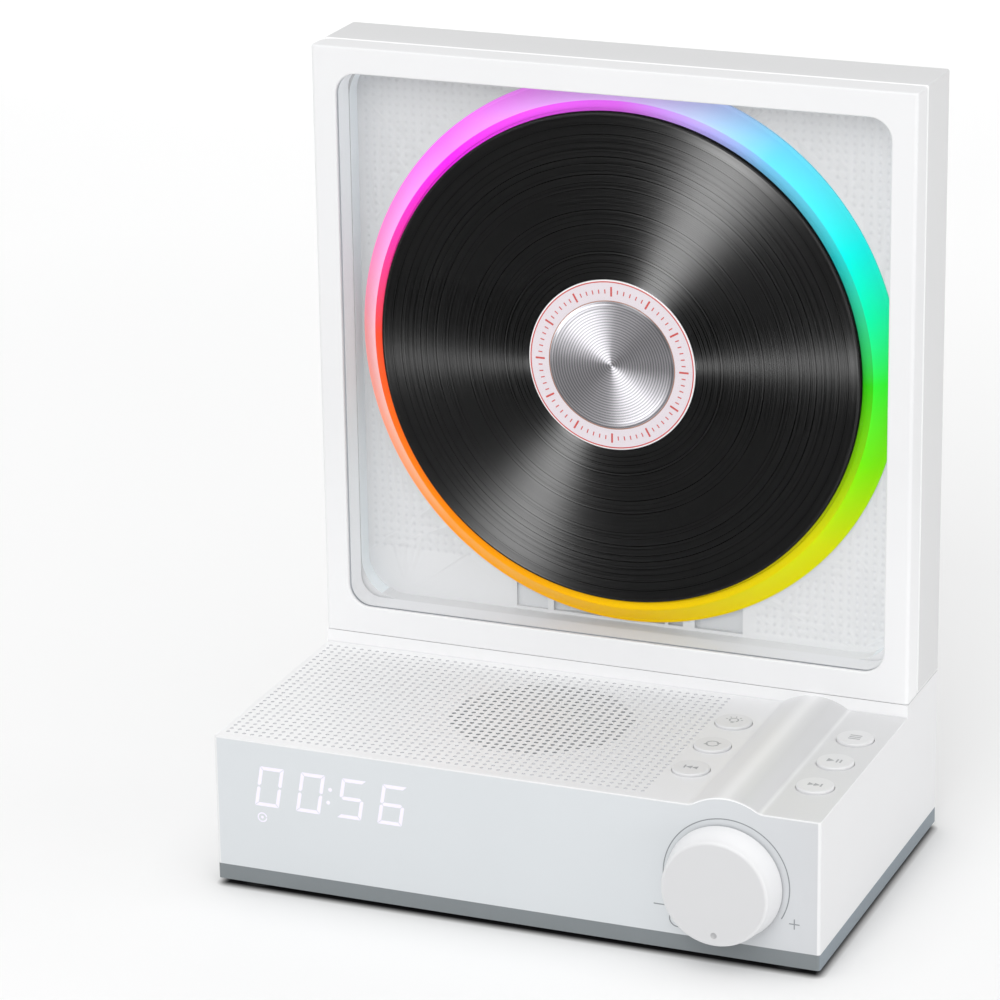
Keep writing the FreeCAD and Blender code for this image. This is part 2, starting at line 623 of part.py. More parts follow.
# after the quarter turn about X, a local angle a points to (cos a, -sin a) in (x, z)
small = level(gear_face(12, MOD, 0.06), 43.0, 45.6)
large = level(gear_face(30, MOD, 0.06), 45.6, 46.9)
small.rotate(Vector(), Vector(0, 0, 1), 15.0)
double = small.fuse(large)
double = double.cut(Part.makeCylinder(1.0 + DIM["run_gap"], 10.0, Vector(0, 0, 40.0)))
g = doc.addObject("Part::Feature", "sled_gear")
g.Shape = stand_gear(double.removeSplitter(), GX, GZ, 0.0)
node("sled_gear", g)
pin = level(gear_face(10, MOD, 0.06), 45.6, 46.9)
pin = pin.fuse(Part.makeCylinder(0.75, 9.3, Vector(0, 0, 45.5)))
pin.rotate(Vector(), Vector(0, 0, 1), 18.0)
g = doc.addObject("Part::Feature", "motor_pinion")
g.Shape = stand_gear(pin.removeSplitter(), PX, GZ, 0.0)
node("motor_pinion", g)

# pickup sled on two rods, with a rack above the small gear
sx, dzv = DIM["sled_x"], DIM["disc_z"]
sled = Part.makeBox(12.0, 5.6, 34.0, Vector(sx - 6.0, 41.2, dzv - 17.0))
pitch = math.pi * MOD
zp = GZ + MOD * 12 / 2.0
bar_lo, bar_hi = sx - 35.0, sx + 4.0
bar = Part.makeBox(bar_hi - bar_lo, 2.1, (dzv - 16.0) - (zp + 1.25 * MOD), Vector(bar_lo, 43.25, zp + 1.25 * MOD))
bar = bar.cut(Part.makeBox(60.0, 4.0, 10.0, Vector(bar_lo - 1.0, 42.0, dzv - 20.0)).cut(
    Part.makeBox(12.0, 6.0, 12.0, Vector(sx - 6.0, 41.0, dzv - 21.0))))
sled = sled.fuse(bar)
hw = pitch / 4.0 * 0.82
lean = math.tan(math.radians(20.0))
k = int(math.ceil((bar_lo + 1.0 - sx) / pitch))
teeth = []
while sx + k * pitch < bar_hi - 1.0:
    c = sx + k * pitch
    hi, lo = 1.4 * MOD, -0.9 * MOD
    poly = [Vector(c - hw - lean * hi, 43.25, zp + hi), Vector(c + hw + lean * hi, 43.25, zp + hi),
            Vector(c + hw + lean * lo, 43.25, zp + lo), Vector(c - hw - lean * lo, 43.25, zp + lo)]
    teeth.append(Part.Face(Part.makePolygon(poly + [poly[0]])).extrude(Vector(0, 2.1, 0)))
    k += 1
sled = sled.multiFuse(teeth)
for s in (-1, 1):
    sled = sled.cut(Part.makeCylinder(DIM["rod_rad"] + DIM["run_gap"], 30.0,
                                      Vector(sx - 15.0, 44.6, dzv + s * DIM["rod_off"]), Vector(1, 0, 0)))
sled = sled.cut(Part.makeCylinder(2.6, 1.0, Vector(sx, 41.2, dzv), Vector(0, 1, 0)))
g = doc.addObject("Part::Feature", "pickup_sled")
g.Shape = sled.removeSplitter()
node("pickup_sled", g)
node("objective_lens", fuse(ycyl(2.6, "sled_x", dz, 40.6, 42.2), cone("y", 1.6, 2.4, "sled_x", 40.1, dz, 0.6)))

# ---- door -------------------------------------------------------------------------------------------
# The plane's normal points to -Y, so a sketch at y stands at offset -y and a reversed pad grows to +Y.

b = new_body("door_frame")
s = sketch(b, "XZ_Plane", "-y_door")
rect(s, "-half_w", "half_w", "z_door", "z_all")
pad(b, s, "y_doorback-y_door", True)
s = sketch(b, "XZ_Plane", "-y_door")
rect(s, "-win_x", "win_x", "win_lo", "win_hi")
pocket(b, s, "y_doorback-y_door", False)
s = sketch(b, "XZ_Plane", "-(y_door+lip)")
rect(s, "-win_x-rebate", "win_x+rebate", "win_lo-rebate", "win_hi+rebate")
pk = pocket(b, s, "y_doorback-y_door", False)
wx, rb = DIM["win_x"], DIM["rebate"]
f1 = round_edges(b, pk, "win_rad", lambda e: along(e, "y") and abs(abs(mid(e).x) - wx) < 1e-4)
f2 = round_edges(b, f1, "win_rad+rebate", lambda e: along(e, "y") and abs(abs(mid(e).x) - wx - rb) < 1e-4)
hw_, yb, yd = DIM["half_w"], DIM["y_doorback"], DIM["y_door"]
f3 = round_edges(b, f2, 4.5, lambda e: along(e, "z") and abs(mid(e).x + hw_) < 1e-4 and abs(mid(e).y - yb) < 1e-4)
f4 = round_edges(b, f3, 1.2, lambda e: along(e, "z") and near(abs(mid(e).x), hw_) and near(mid(e).y, yd))
f5 = round_edges(b, f4, 0.8, lambda e: along(e, "z") and near(mid(e).x, hw_) and near(mid(e).y, yb))
f6 = round_edges(b, f5, "edge_rad", lambda e: near(e.BoundBox.ZMin, ZA))
f7 = round_edges(b, f6, 0.5, lambda e: near(e.BoundBox.YMin, yd) and near(e.BoundBox.YMax, yd) and
                 abs(mid(e).x) < wx + 0.1 and DIM["win_lo"] - 0.1 < mid(e).z < DIM["win_hi"] + 0.1)
s = sketch(b, "XY_Plane", 221.7)
rect(s, "-half_w-1", -81.7, 30.3, 39.0)
pocket(b, s, 3.6, True)
s = sketch(b, "XY_Plane", 218.0)
circle(s, "hinge_x", "hinge_y", "hinge_rad")
pocket(b, s, 8.4, True)
s = sketch(b, "XY_Plane", "z_door")
circle(s, "hinge_x", "hinge_y", "hinge_rad+run_gap")
pocket(b, s, 8.0, True)
s = sketch(b, "XZ_Plane", "-y_doorback")
rect(s, 84.9, 88.5, 130.0, 146.0)
pocket(b, s, 1.5, True)
node("door_frame", b)

b = new_body("window_pane")
s = sketch(b, "XZ_Plane", "-(y_door+lip)")
rect(s, "-win_x-rebate", "win_x+rebate", "win_lo-rebate", "win_hi+rebate")
p = pad(b, s, "pane_th", True)
round_edges(b, p, "win_rad+rebate", lambda e: along(e, "y"))
node("window_pane", b)

b = new_body("window_retainer")
s = sketch(b, "XZ_Plane", "-(y_door+lip+pane_th)")
rect(s, "-win_x-rebate", "win_x+rebate", "win_lo-rebate", "win_hi+rebate")
pad(b, s, "y_doorback-y_door-lip-pane_th", True)
s = sketch(b, "XZ_Plane", "-(y_door+lip+pane_th)")
rect(s, "-win_x", "win_x", "win_lo", "win_hi")
p = pocket(b, s, "y_doorback-y_door", False)
p = round_edges(b, p, "win_rad", lambda e: along(e, "y") and abs(abs(mid(e).x) - wx) < 1e-4)
round_edges(b, p, "win_rad+rebate", lambda e: along(e, "y") and abs(abs(mid(e).x) - wx - rb) < 1e-4)
node("window_retainer", b)

node("door_magnet", box(84.9, 88.5, 36.6, "y_doorback-0.1", 130.0, 146.0))
node("upper_hinge_pin", zcyl("hinge_rad", "hinge_x", "hinge_y", 218.0, 226.4))

# ---- check and write ------------------------------------------------------------------------------

doc.recompute()
bad = [o.Label for o in doc.Objects if "Invalid" in o.State or "Error" in o.State]
for name, obj in NODES:
    sh = obj.Shape
    if sh.isNull() or not sh.isValid() or sh.Volume <= 0:
        bad.append(name + " shape")
if bad:
    raise RuntimeError("failed objects: " + ", ".join(bad))
if len(NODES) > 60:
    raise RuntimeError("too many nodes")
for name, obj in NODES:
    obj.Shape.exportStep("parts/%s.step" % name)
    bb = obj.Shape.BoundBox
    print("%-18s %2d solids %10.1f mm3  x %.1f..%.1f y %.1f..%.1f z %.1f..%.1f" % (
        name, len(obj.Shape.Solids), obj.Shape.Volume, bb.XMin, bb.XMax, bb.YMin, bb.YMax, bb.ZMin, bb.ZMax))
print(len(NODES), "nodes")
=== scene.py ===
"""Looks of the upright disc player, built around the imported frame.

Lengths in the helpers are millimetres in the frame's own axes (+Z up, front towards -Y).
"""
import json
import math

import bmesh
import bpy
from mathutils import Matrix, Vector

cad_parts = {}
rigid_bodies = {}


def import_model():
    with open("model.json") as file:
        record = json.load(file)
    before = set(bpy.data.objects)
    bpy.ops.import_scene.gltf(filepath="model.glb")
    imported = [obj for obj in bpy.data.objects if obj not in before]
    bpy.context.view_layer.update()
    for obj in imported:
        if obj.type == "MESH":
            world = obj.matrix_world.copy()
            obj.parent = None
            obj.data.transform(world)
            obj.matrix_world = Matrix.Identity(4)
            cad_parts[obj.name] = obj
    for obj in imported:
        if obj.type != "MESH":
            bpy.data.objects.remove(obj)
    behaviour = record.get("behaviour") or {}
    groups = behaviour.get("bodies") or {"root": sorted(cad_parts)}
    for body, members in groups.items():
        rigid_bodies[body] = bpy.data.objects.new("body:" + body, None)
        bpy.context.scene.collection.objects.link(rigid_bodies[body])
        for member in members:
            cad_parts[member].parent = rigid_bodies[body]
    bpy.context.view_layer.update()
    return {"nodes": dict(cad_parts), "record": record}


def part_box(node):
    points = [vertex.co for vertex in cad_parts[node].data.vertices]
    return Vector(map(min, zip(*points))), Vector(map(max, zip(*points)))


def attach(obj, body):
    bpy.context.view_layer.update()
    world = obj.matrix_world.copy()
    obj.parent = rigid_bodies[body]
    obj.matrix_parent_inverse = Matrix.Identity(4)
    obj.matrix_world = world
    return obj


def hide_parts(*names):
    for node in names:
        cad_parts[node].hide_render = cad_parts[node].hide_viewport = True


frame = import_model()
NODES = frame["nodes"]
MM = 0.001
DISC_X, DISC_Z = 0.0, 140.4
KNOB_X, KNOB_Z = 62.7, 24.2


# ---- materials ------------------------------------------------------------------------------------
def lin(*rgb):
    """sRGB 0-255 to linear."""
    out = []
    for c in rgb:
        c /= 255.0
        out.append(c / 12.92 if c <= 0.04045 else ((c + 0.055) / 1.055) ** 2.4)
    return tuple(out)


def scaled(color, k):
    return tuple(min(1.0, c * k) for c in color)


def fresh(name):
    mat = bpy.data.materials.new(name)
    mat.use_nodes = True
    nt = mat.node_tree
    nt.nodes.clear()
    out = nt.nodes.new("ShaderNodeOutputMaterial")
    bsdf = nt.nodes.new("ShaderNodeBsdfPrincipled")
    nt.links.new(bsdf.outputs["BSDF"], out.inputs["Surface"])
    return mat, nt, bsdf


def coords(nt):
    return nt.nodes.new("ShaderNodeTexCoord").outputs["Object"]


def noise(nt, vec, scale, detail=2.0, roughness=0.5):
    n = nt.nodes.new("ShaderNodeTexNoise")
    n.inputs["Scale"].default_value = scale
    n.inputs["Detail"].default_value = detail
    n.inputs["Roughness"].default_value = roughness
    nt.links.new(vec, n.inputs["Vector"])
    return n.outputs["Fac"]


def spread(nt, fac, lo, hi, a=0.3, b=0.7):
    m = nt.nodes.new("ShaderNodeMapRange")
    m.inputs["From Min"].default_value = a
    m.inputs["From Max"].default_value = b
    m.inputs["To Min"].default_value = lo
    m.inputs["To Max"].default_value = hi
    nt.links.new(fac, m.inputs["Value"])
    return m.outputs["Result"]


def two_tone(nt, fac, c0, c1, a=0.3, b=0.7):
    r = nt.nodes.new("ShaderNodeValToRGB")
    r.color_ramp.elements[0].position = a
    r.color_ramp.elements[0].color = (*c0, 1.0)
    r.color_ramp.elements[1].position = b
    r.color_ramp.elements[1].color = (*c1, 1.0)
    nt.links.new(fac, r.inputs["Fac"])
    return r.outputs["Color"]


def bumped(nt, height, bsdf, strength, distance):
    b = nt.nodes.new("ShaderNodeBump")
    b.inputs["Strength"].default_value = strength
    b.inputs["Distance"].default_value = distance
    nt.links.new(height, b.inputs["Height"])
    nt.links.new(b.outputs["Normal"], bsdf.inputs["Normal"])
    return b


def moulded(name, color, rough=0.42, vary=0.04, tone=0.012, grain=1400.0, depth=0.00001,
            strength=0.25, metal=0.0, spec=0.5, coat=0.0, coat_rough=0.1, glow=0.0, mask=None, other=None, more=()):
    """Moulded or pressed stock: slow tone drift, fine grain in roughness and relief.

    Where mask is 1 the stock has the tone other, and so on for each pair in more.
    """
    mat, nt, bsdf = fresh(name)
    co = coords(nt)
    slow = noise(nt, co, 28.0, 2.0)
    drift = two_tone(nt, slow, scaled(color, 1.0 - tone), scaled(color, 1.0 + tone))
    for where, shade in (((mask, other),) if mask else ()) + tuple(more):
        pick = nt.nodes.new("ShaderNodeMix")
        pick.data_type = "RGBA"
        nt.links.new(where(nt, co), pick.inputs[0])
        nt.links.new(drift, pick.inputs[6])
        nt.links.new(two_tone(nt, slow, scaled(shade, 1.0 - tone), scaled(shade, 1.0 + tone)), pick.inputs[7])
        drift = pick.outputs[2]
    nt.links.new(drift, bsdf.inputs["Base Color"])
    fine = noise(nt, co, grain, 3.0, 0.6)
    nt.links.new(spread(nt, fine, rough - vary, rough + vary), bsdf.inputs["Roughness"])
    bumped(nt, fine, bsdf, strength, depth)
    bsdf.inputs["Metallic"].default_value = metal
    bsdf.inputs["Specular IOR Level"].default_value = spec
    if coat:
        bsdf.inputs["Coat Weight"].default_value = coat
        bsdf.inputs["Coat Roughness"].default_value = coat_rough
    if glow:
        # painted glow: emission stands in for light of the lamp ring scattered inside the compartment
        bsdf.inputs["Emission Color"].default_value = (*color, 1.0)
        bsdf.inputs["Emission Strength"].default_value = glow
    return mat


def spun(name, color, rough, aniso, metal, spec, pitch, depth, strength, centre=(DISC_X, DISC_Z), tone=0.03, lines=0.0):
    """Turned surface about a Y axis: ring lines, gloss stretched across them."""
    mat, nt, bsdf = fresh(name)
    co = coords(nt)
    shift = nt.nodes.new("ShaderNodeVectorMath")
    shift.operation = "SUBTRACT"
    shift.inputs[1].default_value = (centre[0] * MM, 0.0, centre[1] * MM)
    nt.links.new(co, shift.inputs[0])
    ring = nt.nodes.new("ShaderNodeTexWave")
    ring.wave_type = "RINGS"
    ring.rings_direction = "Y"
    ring.inputs["Scale"].default_value = 2.0 * math.pi / (20.0 * pitch * MM)
    ring.inputs["Distortion"].default_value = 0.0
    nt.links.new(shift.outputs["Vector"], ring.inputs["Vector"])
    slow = noise(nt, shift.outputs["Vector"], 60.0, 2.0)
    if lines:
        nt.links.new(two_tone(nt, ring.outputs["Fac"], scaled(color, 1.0 - lines), scaled(color, 1.0 + lines), 0.1, 0.9), bsdf.inputs["Base Color"])
    else:
        nt.links.new(two_tone(nt, slow, scaled(color, 1.0 - tone), scaled(color, 1.0 + tone)), bsdf.inputs["Base Color"])
    nt.links.new(spread(nt, ring.outputs["Fac"], rough * 0.9, rough * 1.1, 0.0, 1.0), bsdf.inputs["Roughness"])
    bumped(nt, ring.outputs["Fac"], bsdf, strength, depth)
    tan = nt.nodes.new("ShaderNodeTangent")
    tan.direction_type = "RADIAL"
    tan.axis = "Y"
    nt.links.new(tan.outputs["Tangent"], bsdf.inputs["Tangent"])
    bsdf.inputs["Anisotropic"].default_value = aniso
    bsdf.inputs["Anisotropic Rotation"].default_value = 0.25
    bsdf.inputs["Metallic"].default_value = metal
    bsdf.inputs["Specular IOR Level"].default_value = spec
    return mat


def grooved(name):
    """Black grooved plastic: rings of uneven depth, gloss drawn out across the grooves."""
    mat, nt, bsdf = fresh(name)
    co = coords(nt)
    shift = nt.nodes.new("ShaderNodeVectorMath")
    shift.operation = "SUBTRACT"
    shift.inputs[1].default_value = (DISC_X * MM, 0.0, DISC_Z * MM)
    nt.links.new(co, shift.inputs[0])
    flat = nt.nodes.new("ShaderNodeVectorMath")
    flat.operation = "MULTIPLY"
    flat.inputs[1].default_value = (1.0, 0.0, 1.0)
    nt.links.new(shift.outputs["Vector"], flat.inputs[0])
    rad = nt.nodes.new("ShaderNodeVectorMath")
    rad.operation = "LENGTH"
    nt.links.new(flat.outputs["Vector"], rad.inputs[0])
    cut = nt.nodes.new("ShaderNodeTexNoise")
    cut.noise_dimensions = "1D"
    cut.inputs["Scale"].default_value = 2200.0
    cut.inputs["Detail"].default_value = 2.0
    cut.inputs["Roughness"].default_value = 0.5
    nt.links.new(rad.outputs["Value"], cut.inputs["W"])
    nt.links.new(two_tone(nt, cut.outputs["Fac"], (0.00002, 0.00002, 0.00002), (0.0009, 0.0009, 0.0009), 0.36, 0.66), bsdf.inputs["Base Color"])
    nt.links.new(spread(nt, cut.outputs["Fac"], 0.26, 0.36), bsdf.inputs["Roughness"])
    bumped(nt, cut.outputs["Fac"], bsdf, 0.08, 0.000006)
    tan = nt.nodes.new("ShaderNodeTangent")
    tan.direction_type = "RADIAL"
    tan.axis = "Y"
    nt.links.new(tan.outputs["Tangent"], bsdf.inputs["Tangent"])
    bsdf.inputs["Anisotropic"].default_value = 1.0
    bsdf.inputs["Anisotropic Rotation"].default_value = 0.25
    nt.links.new(spread(nt, cut.outputs["Fac"], 0.043, 0.060, 0.35, 0.65), bsdf.inputs["Specular IOR Level"])
    return mat


def print_ink(name, color, rough=0.5, tone=0.05):
    return moulded(name, color, rough, 0.05, tone, 2200.0, 0.000004, 0.2)


WHITE = (0.800, 0.802, 0.812)
M = {}
M["white_shell"] = moulded("white_shell", WHITE, 0.42, 0.04, 0.006, 1500.0, 0.000008, 0.2)


def times(nt, a, b):
    m = nt.nodes.new("ShaderNodeMath")
    m.operation = "MULTIPLY"
    nt.links.new(a, m.inputs[0])
    nt.links.new(b, m.inputs[1])
    return m.outputs[0]


def larger(nt, a, b):
    m = nt.nodes.new("ShaderNodeMath")
    m.operation = "MAXIMUM"
    nt.links.new(a, m.inputs[0])
    nt.links.new(b, m.inputs[1])
    return m.outputs[0]


def axes(nt, vec):
    sep = nt.nodes.new("ShaderNodeSeparateXYZ")
    nt.links.new(vec, sep.inputs[0])
    return sep.outputs


def deck_mask(nt, co):
    # the level deck, not the ridge, the riser or the rounded edges
    up = axes(nt, nt.nodes.new("ShaderNodeTexCoord").outputs["Normal"])["Z"]
    z = axes(nt, co)["Z"]
    return times(nt, spread(nt, up, 0.0, 1.0, 0.97, 0.995), spread(nt, z, 1.0, 0.0, 0.0458, 0.0462))


def lit_deck_left_mask(nt, co):
    # painted light: the deck round the speaker plate is a lighter tone, fading towards the keys
    return times(nt, deck_mask(nt, co), spread(nt, axes(nt, co)["X"], 1.0, 0.0, -0.02, 0.034))


def plate_shade_to_keys_mask(nt, co):
    # painted shade: the speaker plate darkens towards the keys
    return spread(nt, axes(nt, co)["X"], 0.0, 1.0, -0.02, 0.034)


def shaded_deck_right_mask(nt, co):
    # painted shade: the deck on the far side of the ridge is a darker tone
    return times(nt, deck_mask(nt, co), spread(nt, axes(nt, co)["X"], 0.0, 1.0, 0.058, 0.074))


def panel_shade_to_knob_mask(nt, co):
    # painted shade: the panel darkens towards the knob
    return spread(nt, axes(nt, co)["X"], 0.0, 1.0, 0.035, 0.088)


def edge_highlight_mask(nt, co):
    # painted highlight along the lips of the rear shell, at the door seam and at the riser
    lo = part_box("rear_shell")[0]
    at = axes(nt, co)
    return larger(nt, spread(nt, at["Y"], 1.0, 0.0, lo[1] + 0.0004, lo[1] + 0.0006),
                  spread(nt, at["Z"], 1.0, 0.0, lo[2] + 0.0004, lo[2] + 0.0006))


# painted shade: in the case's white the ridge is a darker tone than the deck
def ridge_mask(nt, co):
    up = axes(nt, nt.nodes.new("ShaderNodeTexCoord").outputs["Normal"])["Z"]
    return times(nt, spread(nt, up, 0.0, 1.0, 0.3, 0.5), spread(nt, axes(nt, co)["Z"], 0.0, 1.0, 0.0458, 0.0462))


def lit_ridge_crest_mask(nt, co):
    # painted highlight: a lighter band along the ridge's crest
    over = axes(nt, nt.nodes.new("ShaderNodeTexCoord").outputs["Normal"])["X"]
    band = times(nt, spread(nt, over, 0.0, 1.0, -0.22, -0.06), spread(nt, over, 1.0, 0.0, 0.0, 0.16))
    return times(nt, ridge_mask(nt, co), band)


def shaded_ridge_flank_mask(nt, co):
    # painted shade: the ridge's flank on the side away from the speaker is a darker tone
    over = axes(nt, nt.nodes.new("ShaderNodeTexCoord").outputs["Normal"])["X"]
    return times(nt, ridge_mask(nt, co), spread(nt, over, 0.0, 1.0, 0.03, 0.28))


def lit_riser_mask(nt, co):
    # painted light: the low wall between deck and door is a lighter tone
    ahead = axes(nt, nt.nodes.new("ShaderNodeTexCoord").outputs["Normal"])["Y"]
    return times(nt, spread(nt, ahead, 1.0, 0.0, -0.95, -0.7), spread(nt, axes(nt, co)["Z"], 0.0, 1.0, 0.0458, 0.0462))


# painted light: the door's lower part is a lighter tone
def lit_door_bottom_mask(nt, co):
    return spread(nt, axes(nt, co)["Z"], 1.0, 0.0, 0.052, 0.12)


def well_light_slope_mask(nt, co):
    # painted light: lighter from the upper left corner of the compartment to its lower right corner
    at = axes(nt, co)
    m = nt.nodes.new("ShaderNodeMath")
    m.operation = "SUBTRACT"
    nt.links.new(at["X"], m.inputs[0])
    nt.links.new(at["Z"], m.inputs[1])
    return spread(nt, m.outputs[0], 0.0, 1.0, -0.28, 0.0)


def lit_base_flank_mask(nt, co):
    # painted light: the base's side wall facing +X is a lighter, bluer tone
    return spread(nt, axes(nt, nt.nodes.new("ShaderNodeTexCoord").outputs["Normal"])["X"], 0.0, 1.0, 0.6, 0.95)


# painted light and shade: the case's white is graded by place and facing, lighter round the speaker plate, on the
# ridge's crest and on the riser, darker on the ridge, beyond it and on its far flank
M["case_white"] = moulded("case_white", WHITE, 0.42, 0.04, 0.006, 1500.0, 0.000008, 0.2, mask=deck_mask,
                          other=(0.805, 0.807, 0.816),
                          more=((lit_deck_left_mask, (0.860, 0.862, 0.868)), (shaded_deck_right_mask, (0.70, 0.702, 0.711)),
                                (ridge_mask, (0.755, 0.757, 0.766)), (lit_ridge_crest_mask, (0.835, 0.837, 0.845)),
                                (shaded_ridge_flank_mask, (0.635, 0.637, 0.645)),
                                (lit_riser_mask, (0.92, 0.922, 0.93))))
# painted shade: the rear shell is a darker tone than the door; painted highlight along its edges
M["shell_white"] = moulded("shell_white", (0.69, 0.692, 0.697), 0.42, 0.04, 0.006, 1500.0, 0.000008, 0.2, mask=edge_highlight_mask,
                           other=(0.93, 0.93, 0.935))
M["door_white"] = moulded("door_white", (0.800, 0.802, 0.811), 0.42, 0.04, 0.006, 1500.0, 0.000008, 0.2, mask=lit_door_bottom_mask,
                          other=(0.89, 0.892, 0.90))
M["key_white"] = moulded("key_white", (0.755, 0.757, 0.766), 0.42, 0.04, 0.006, 1500.0, 0.000008, 0.2)
# painted light: the speaker plate is a lighter tone than the case, with painted shade towards the keys
M["plate_white"] = moulded("plate_white", (0.880, 0.882, 0.888), 0.42, 0.04, 0.006, 1500.0, 0.000008, 0.2, mask=plate_shade_to_keys_mask,
                           other=(0.810, 0.812, 0.821))
M["grey_base"] = moulded("grey_base", lin(125, 131, 134), 0.48, 0.05, 0.02, 1200.0, 0.000012, 0.3, mask=lit_base_flank_mask,
                         other=lin(131, 141, 149))
M["foot_rubber"] = moulded("foot_rubber", lin(38, 39, 41), 0.78, 0.06, 0.08, 900.0, 0.00004, 0.5, spec=0.3)
M["panel_tint"] = moulded("panel_tint", lin(213, 217, 220), 0.34, 0.03, 0.006, 1800.0, 0.000004, 0.15, mask=panel_shade_to_knob_mask,
                          other=lin(206, 208, 211))
# painted light: the compartment's side walls are a lighter tone with a faint painted glow
M["well_band"] = moulded("well_band", lin(222, 228, 231), 0.5, 0.05, 0.008, 1400.0, 0.00001, 0.25, glow=0.12)
# painted shade: the dimples' walls and floors and the holes' walls are darker greys than the plate
M["dimple_wall"] = moulded("dimple_wall", lin(194, 195, 198), 0.6, 0.05, 0.01, 1400.0, 0.00001, 0.25, spec=0.2)
M["dimple_grey"] = moulded("dimple_grey", lin(211, 212, 215), 0.5, 0.05, 0.01, 1400.0, 0.00001, 0.25)
M["hole_wall"] = moulded("hole_wall", lin(184, 186, 189), 0.6, 0.05, 0.03, 1400.0, 0.00001, 0.25)
# painted light: the pane's frosted border glows faintly
M["pane_border"] = moulded("pane_border", lin(214, 216, 219), 0.5, 0.05, 0.01, 1400.0, 0.000006, 0.2, glow=0.16)
# painted shade: the compartment's floor and its dots darken towards the upper left; the dots are a painted shade darker
# than the floor
M["well_dot"] = moulded("well_dot", lin(206, 207, 209), 0.5, 0.05, 0.008, 1400.0, 0.00001, 0.25, mask=well_light_slope_mask,
                        other=lin(224, 225, 227))
M["well_pocket"] = moulded("well_pocket", lin(216, 218, 220), 0.4, 0.05, 0.008, 1400.0, 0.00001, 0.25)
M["well_grey"] = moulded("well_grey", lin(211, 212, 214), 0.5, 0.05, 0.008, 1400.0, 0.00001, 0.25, mask=well_light_slope_mask,
                         other=lin(231, 232, 233))
M["steel"] = moulded("steel", lin(196, 198, 202), 0.3, 0.08, 0.04, 700.0, 0.000015, 0.4, metal=1.0)
M["magnet_nickel"] = moulded("magnet_nickel", lin(186, 184, 178), 0.22, 0.06, 0.04, 600.0, 0.00001, 0.3, metal=1.0)
M["board_green"] = moulded("board_green", lin(26, 86, 54), 0.4, 0.06, 0.12, 500.0, 0.00003, 0.5, coat=0.3)
M["board_white"] = moulded("board_white", lin(232, 232, 226), 0.45, 0.05, 0.02, 700.0, 0.00002, 0.3)
M["black_plastic"] = moulded("black_plastic", lin(30, 31, 33), 0.5, 0.06, 0.1, 1100.0, 0.00003, 0.5)
M["cone_paper"] = moulded("cone_paper", lin(46, 45, 44), 0.85, 0.08, 0.12, 420.0, 0.00012, 0.7, spec=0.25)
M["gear_nylon"] = moulded("gear_nylon", lin(226, 222, 208), 0.4, 0.05, 0.03, 900.0, 0.00002, 0.3)
M["lens_glass"] = moulded("lens_glass", lin(70, 60, 110), 0.08, 0.03, 0.1, 300.0, 0.000005, 0.1, coat=1.0, coat_rough=0.03)
M["disc_poly"] = spun("disc_poly", lin(206, 208, 214), 0.16, 0.6, 0.9, 0.5, 0.4, 0.000004, 0.2)
M["record_black"] = grooved("record_black")
M["record_rim"] = moulded("record_rim", (0.0006, 0.0006, 0.0006), 0.6, 0.05, 0.05, 1400.0, 0.000006, 0.2, spec=0.02)
M["hub_metal"] = spun("hub_metal", lin(122, 121, 124), 0.34, 0.93, 1.0, 0.5, 0.8, 0.000008, 0.4, lines=0.3)
M["label_print"] = print_ink("label_print", lin(230, 221, 227), 0.5, 0.01)
M["label_rim"] = print_ink("label_rim", lin(246, 244, 245), 0.42, 0.01)
M["label_red"] = print_ink("label_red", lin(206, 84, 80), 0.5, 0.04)
M["label_bronze"] = print_ink("label_bronze", lin(168, 116, 92), 0.4, 0.05)
M["mark_grey"] = print_ink("mark_grey", lin(140, 144, 147), 0.5, 0.03)
M["key_mark"] = print_ink("key_mark", lin(168, 169, 172), 0.5, 0.02)


def pane_material():
    mat, nt, bsdf = fresh("clear_pane")
    co = coords(nt)
    haze = noise(nt, co, 40.0, 3.0)
    nt.links.new(spread(nt, haze, 0.03, 0.06), bsdf.inputs["Roughness"])
    nt.links.new(two_tone(nt, haze, lin(34, 36, 38), lin(44, 46, 48)), bsdf.inputs["Base Color"])
    bsdf.inputs["Alpha"].default_value = 0.02
    bsdf.inputs["Specular IOR Level"].default_value = 0.5
    return mat


M["clear_pane"] = pane_material()

# hues round the light ring, clockwise from the top as seen from the front, and its paler tone on the bevel
HUES = [
    (0.00, (230, 108, 246), (228, 184, 254)), (0.05, (194, 170, 250), (198, 214, 252)), (0.10, (112, 186, 226), (104, 220, 250)),
    (0.17, (36, 190, 190), (8, 236, 226)), (0.21, (44, 194, 132), (12, 242, 168)), (0.25, (52, 198, 20), (56, 244, 56)),
    (0.30, (130, 198, 2), (120, 236, 8)), (0.36, (208, 204, 2), (206, 220, 4)), (0.50, (246, 194, 2), (240, 190, 10)),
    (0.62, (252, 140, 4), (252, 158, 50)), (0.70, (252, 104, 30), (254, 188, 172)), (0.75, (252, 80, 54), (254, 192, 202)),
    (0.80, (250, 64, 150), (254, 168, 224)), (0.88, (252, 42, 244), (252, 140, 252)), (1.00, (230, 108, 246), (228, 184, 254)),
]
RING_STOPS = [(at, rgb) for at, rgb, soft in HUES]
PALE_STOPS = [(at, soft) for at, rgb, soft in HUES]


def hue_ramp(nt, fac, stops):
    ramp = nt.nodes.new("ShaderNodeValToRGB")
    ramp.color_ramp.interpolation = "LINEAR"
    els = ramp.color_ramp.elements
    while len(els) < len(stops):
        els.new(0.5)
    for el, (at, rgb) in zip(els, stops):
        el.position = at
    for el, (at, rgb) in zip(els, stops):
        el.color = (*lin(*rgb), 1.0)
    nt.links.new(fac, ramp.inputs["Fac"])
    return ramp.outputs["Color"]


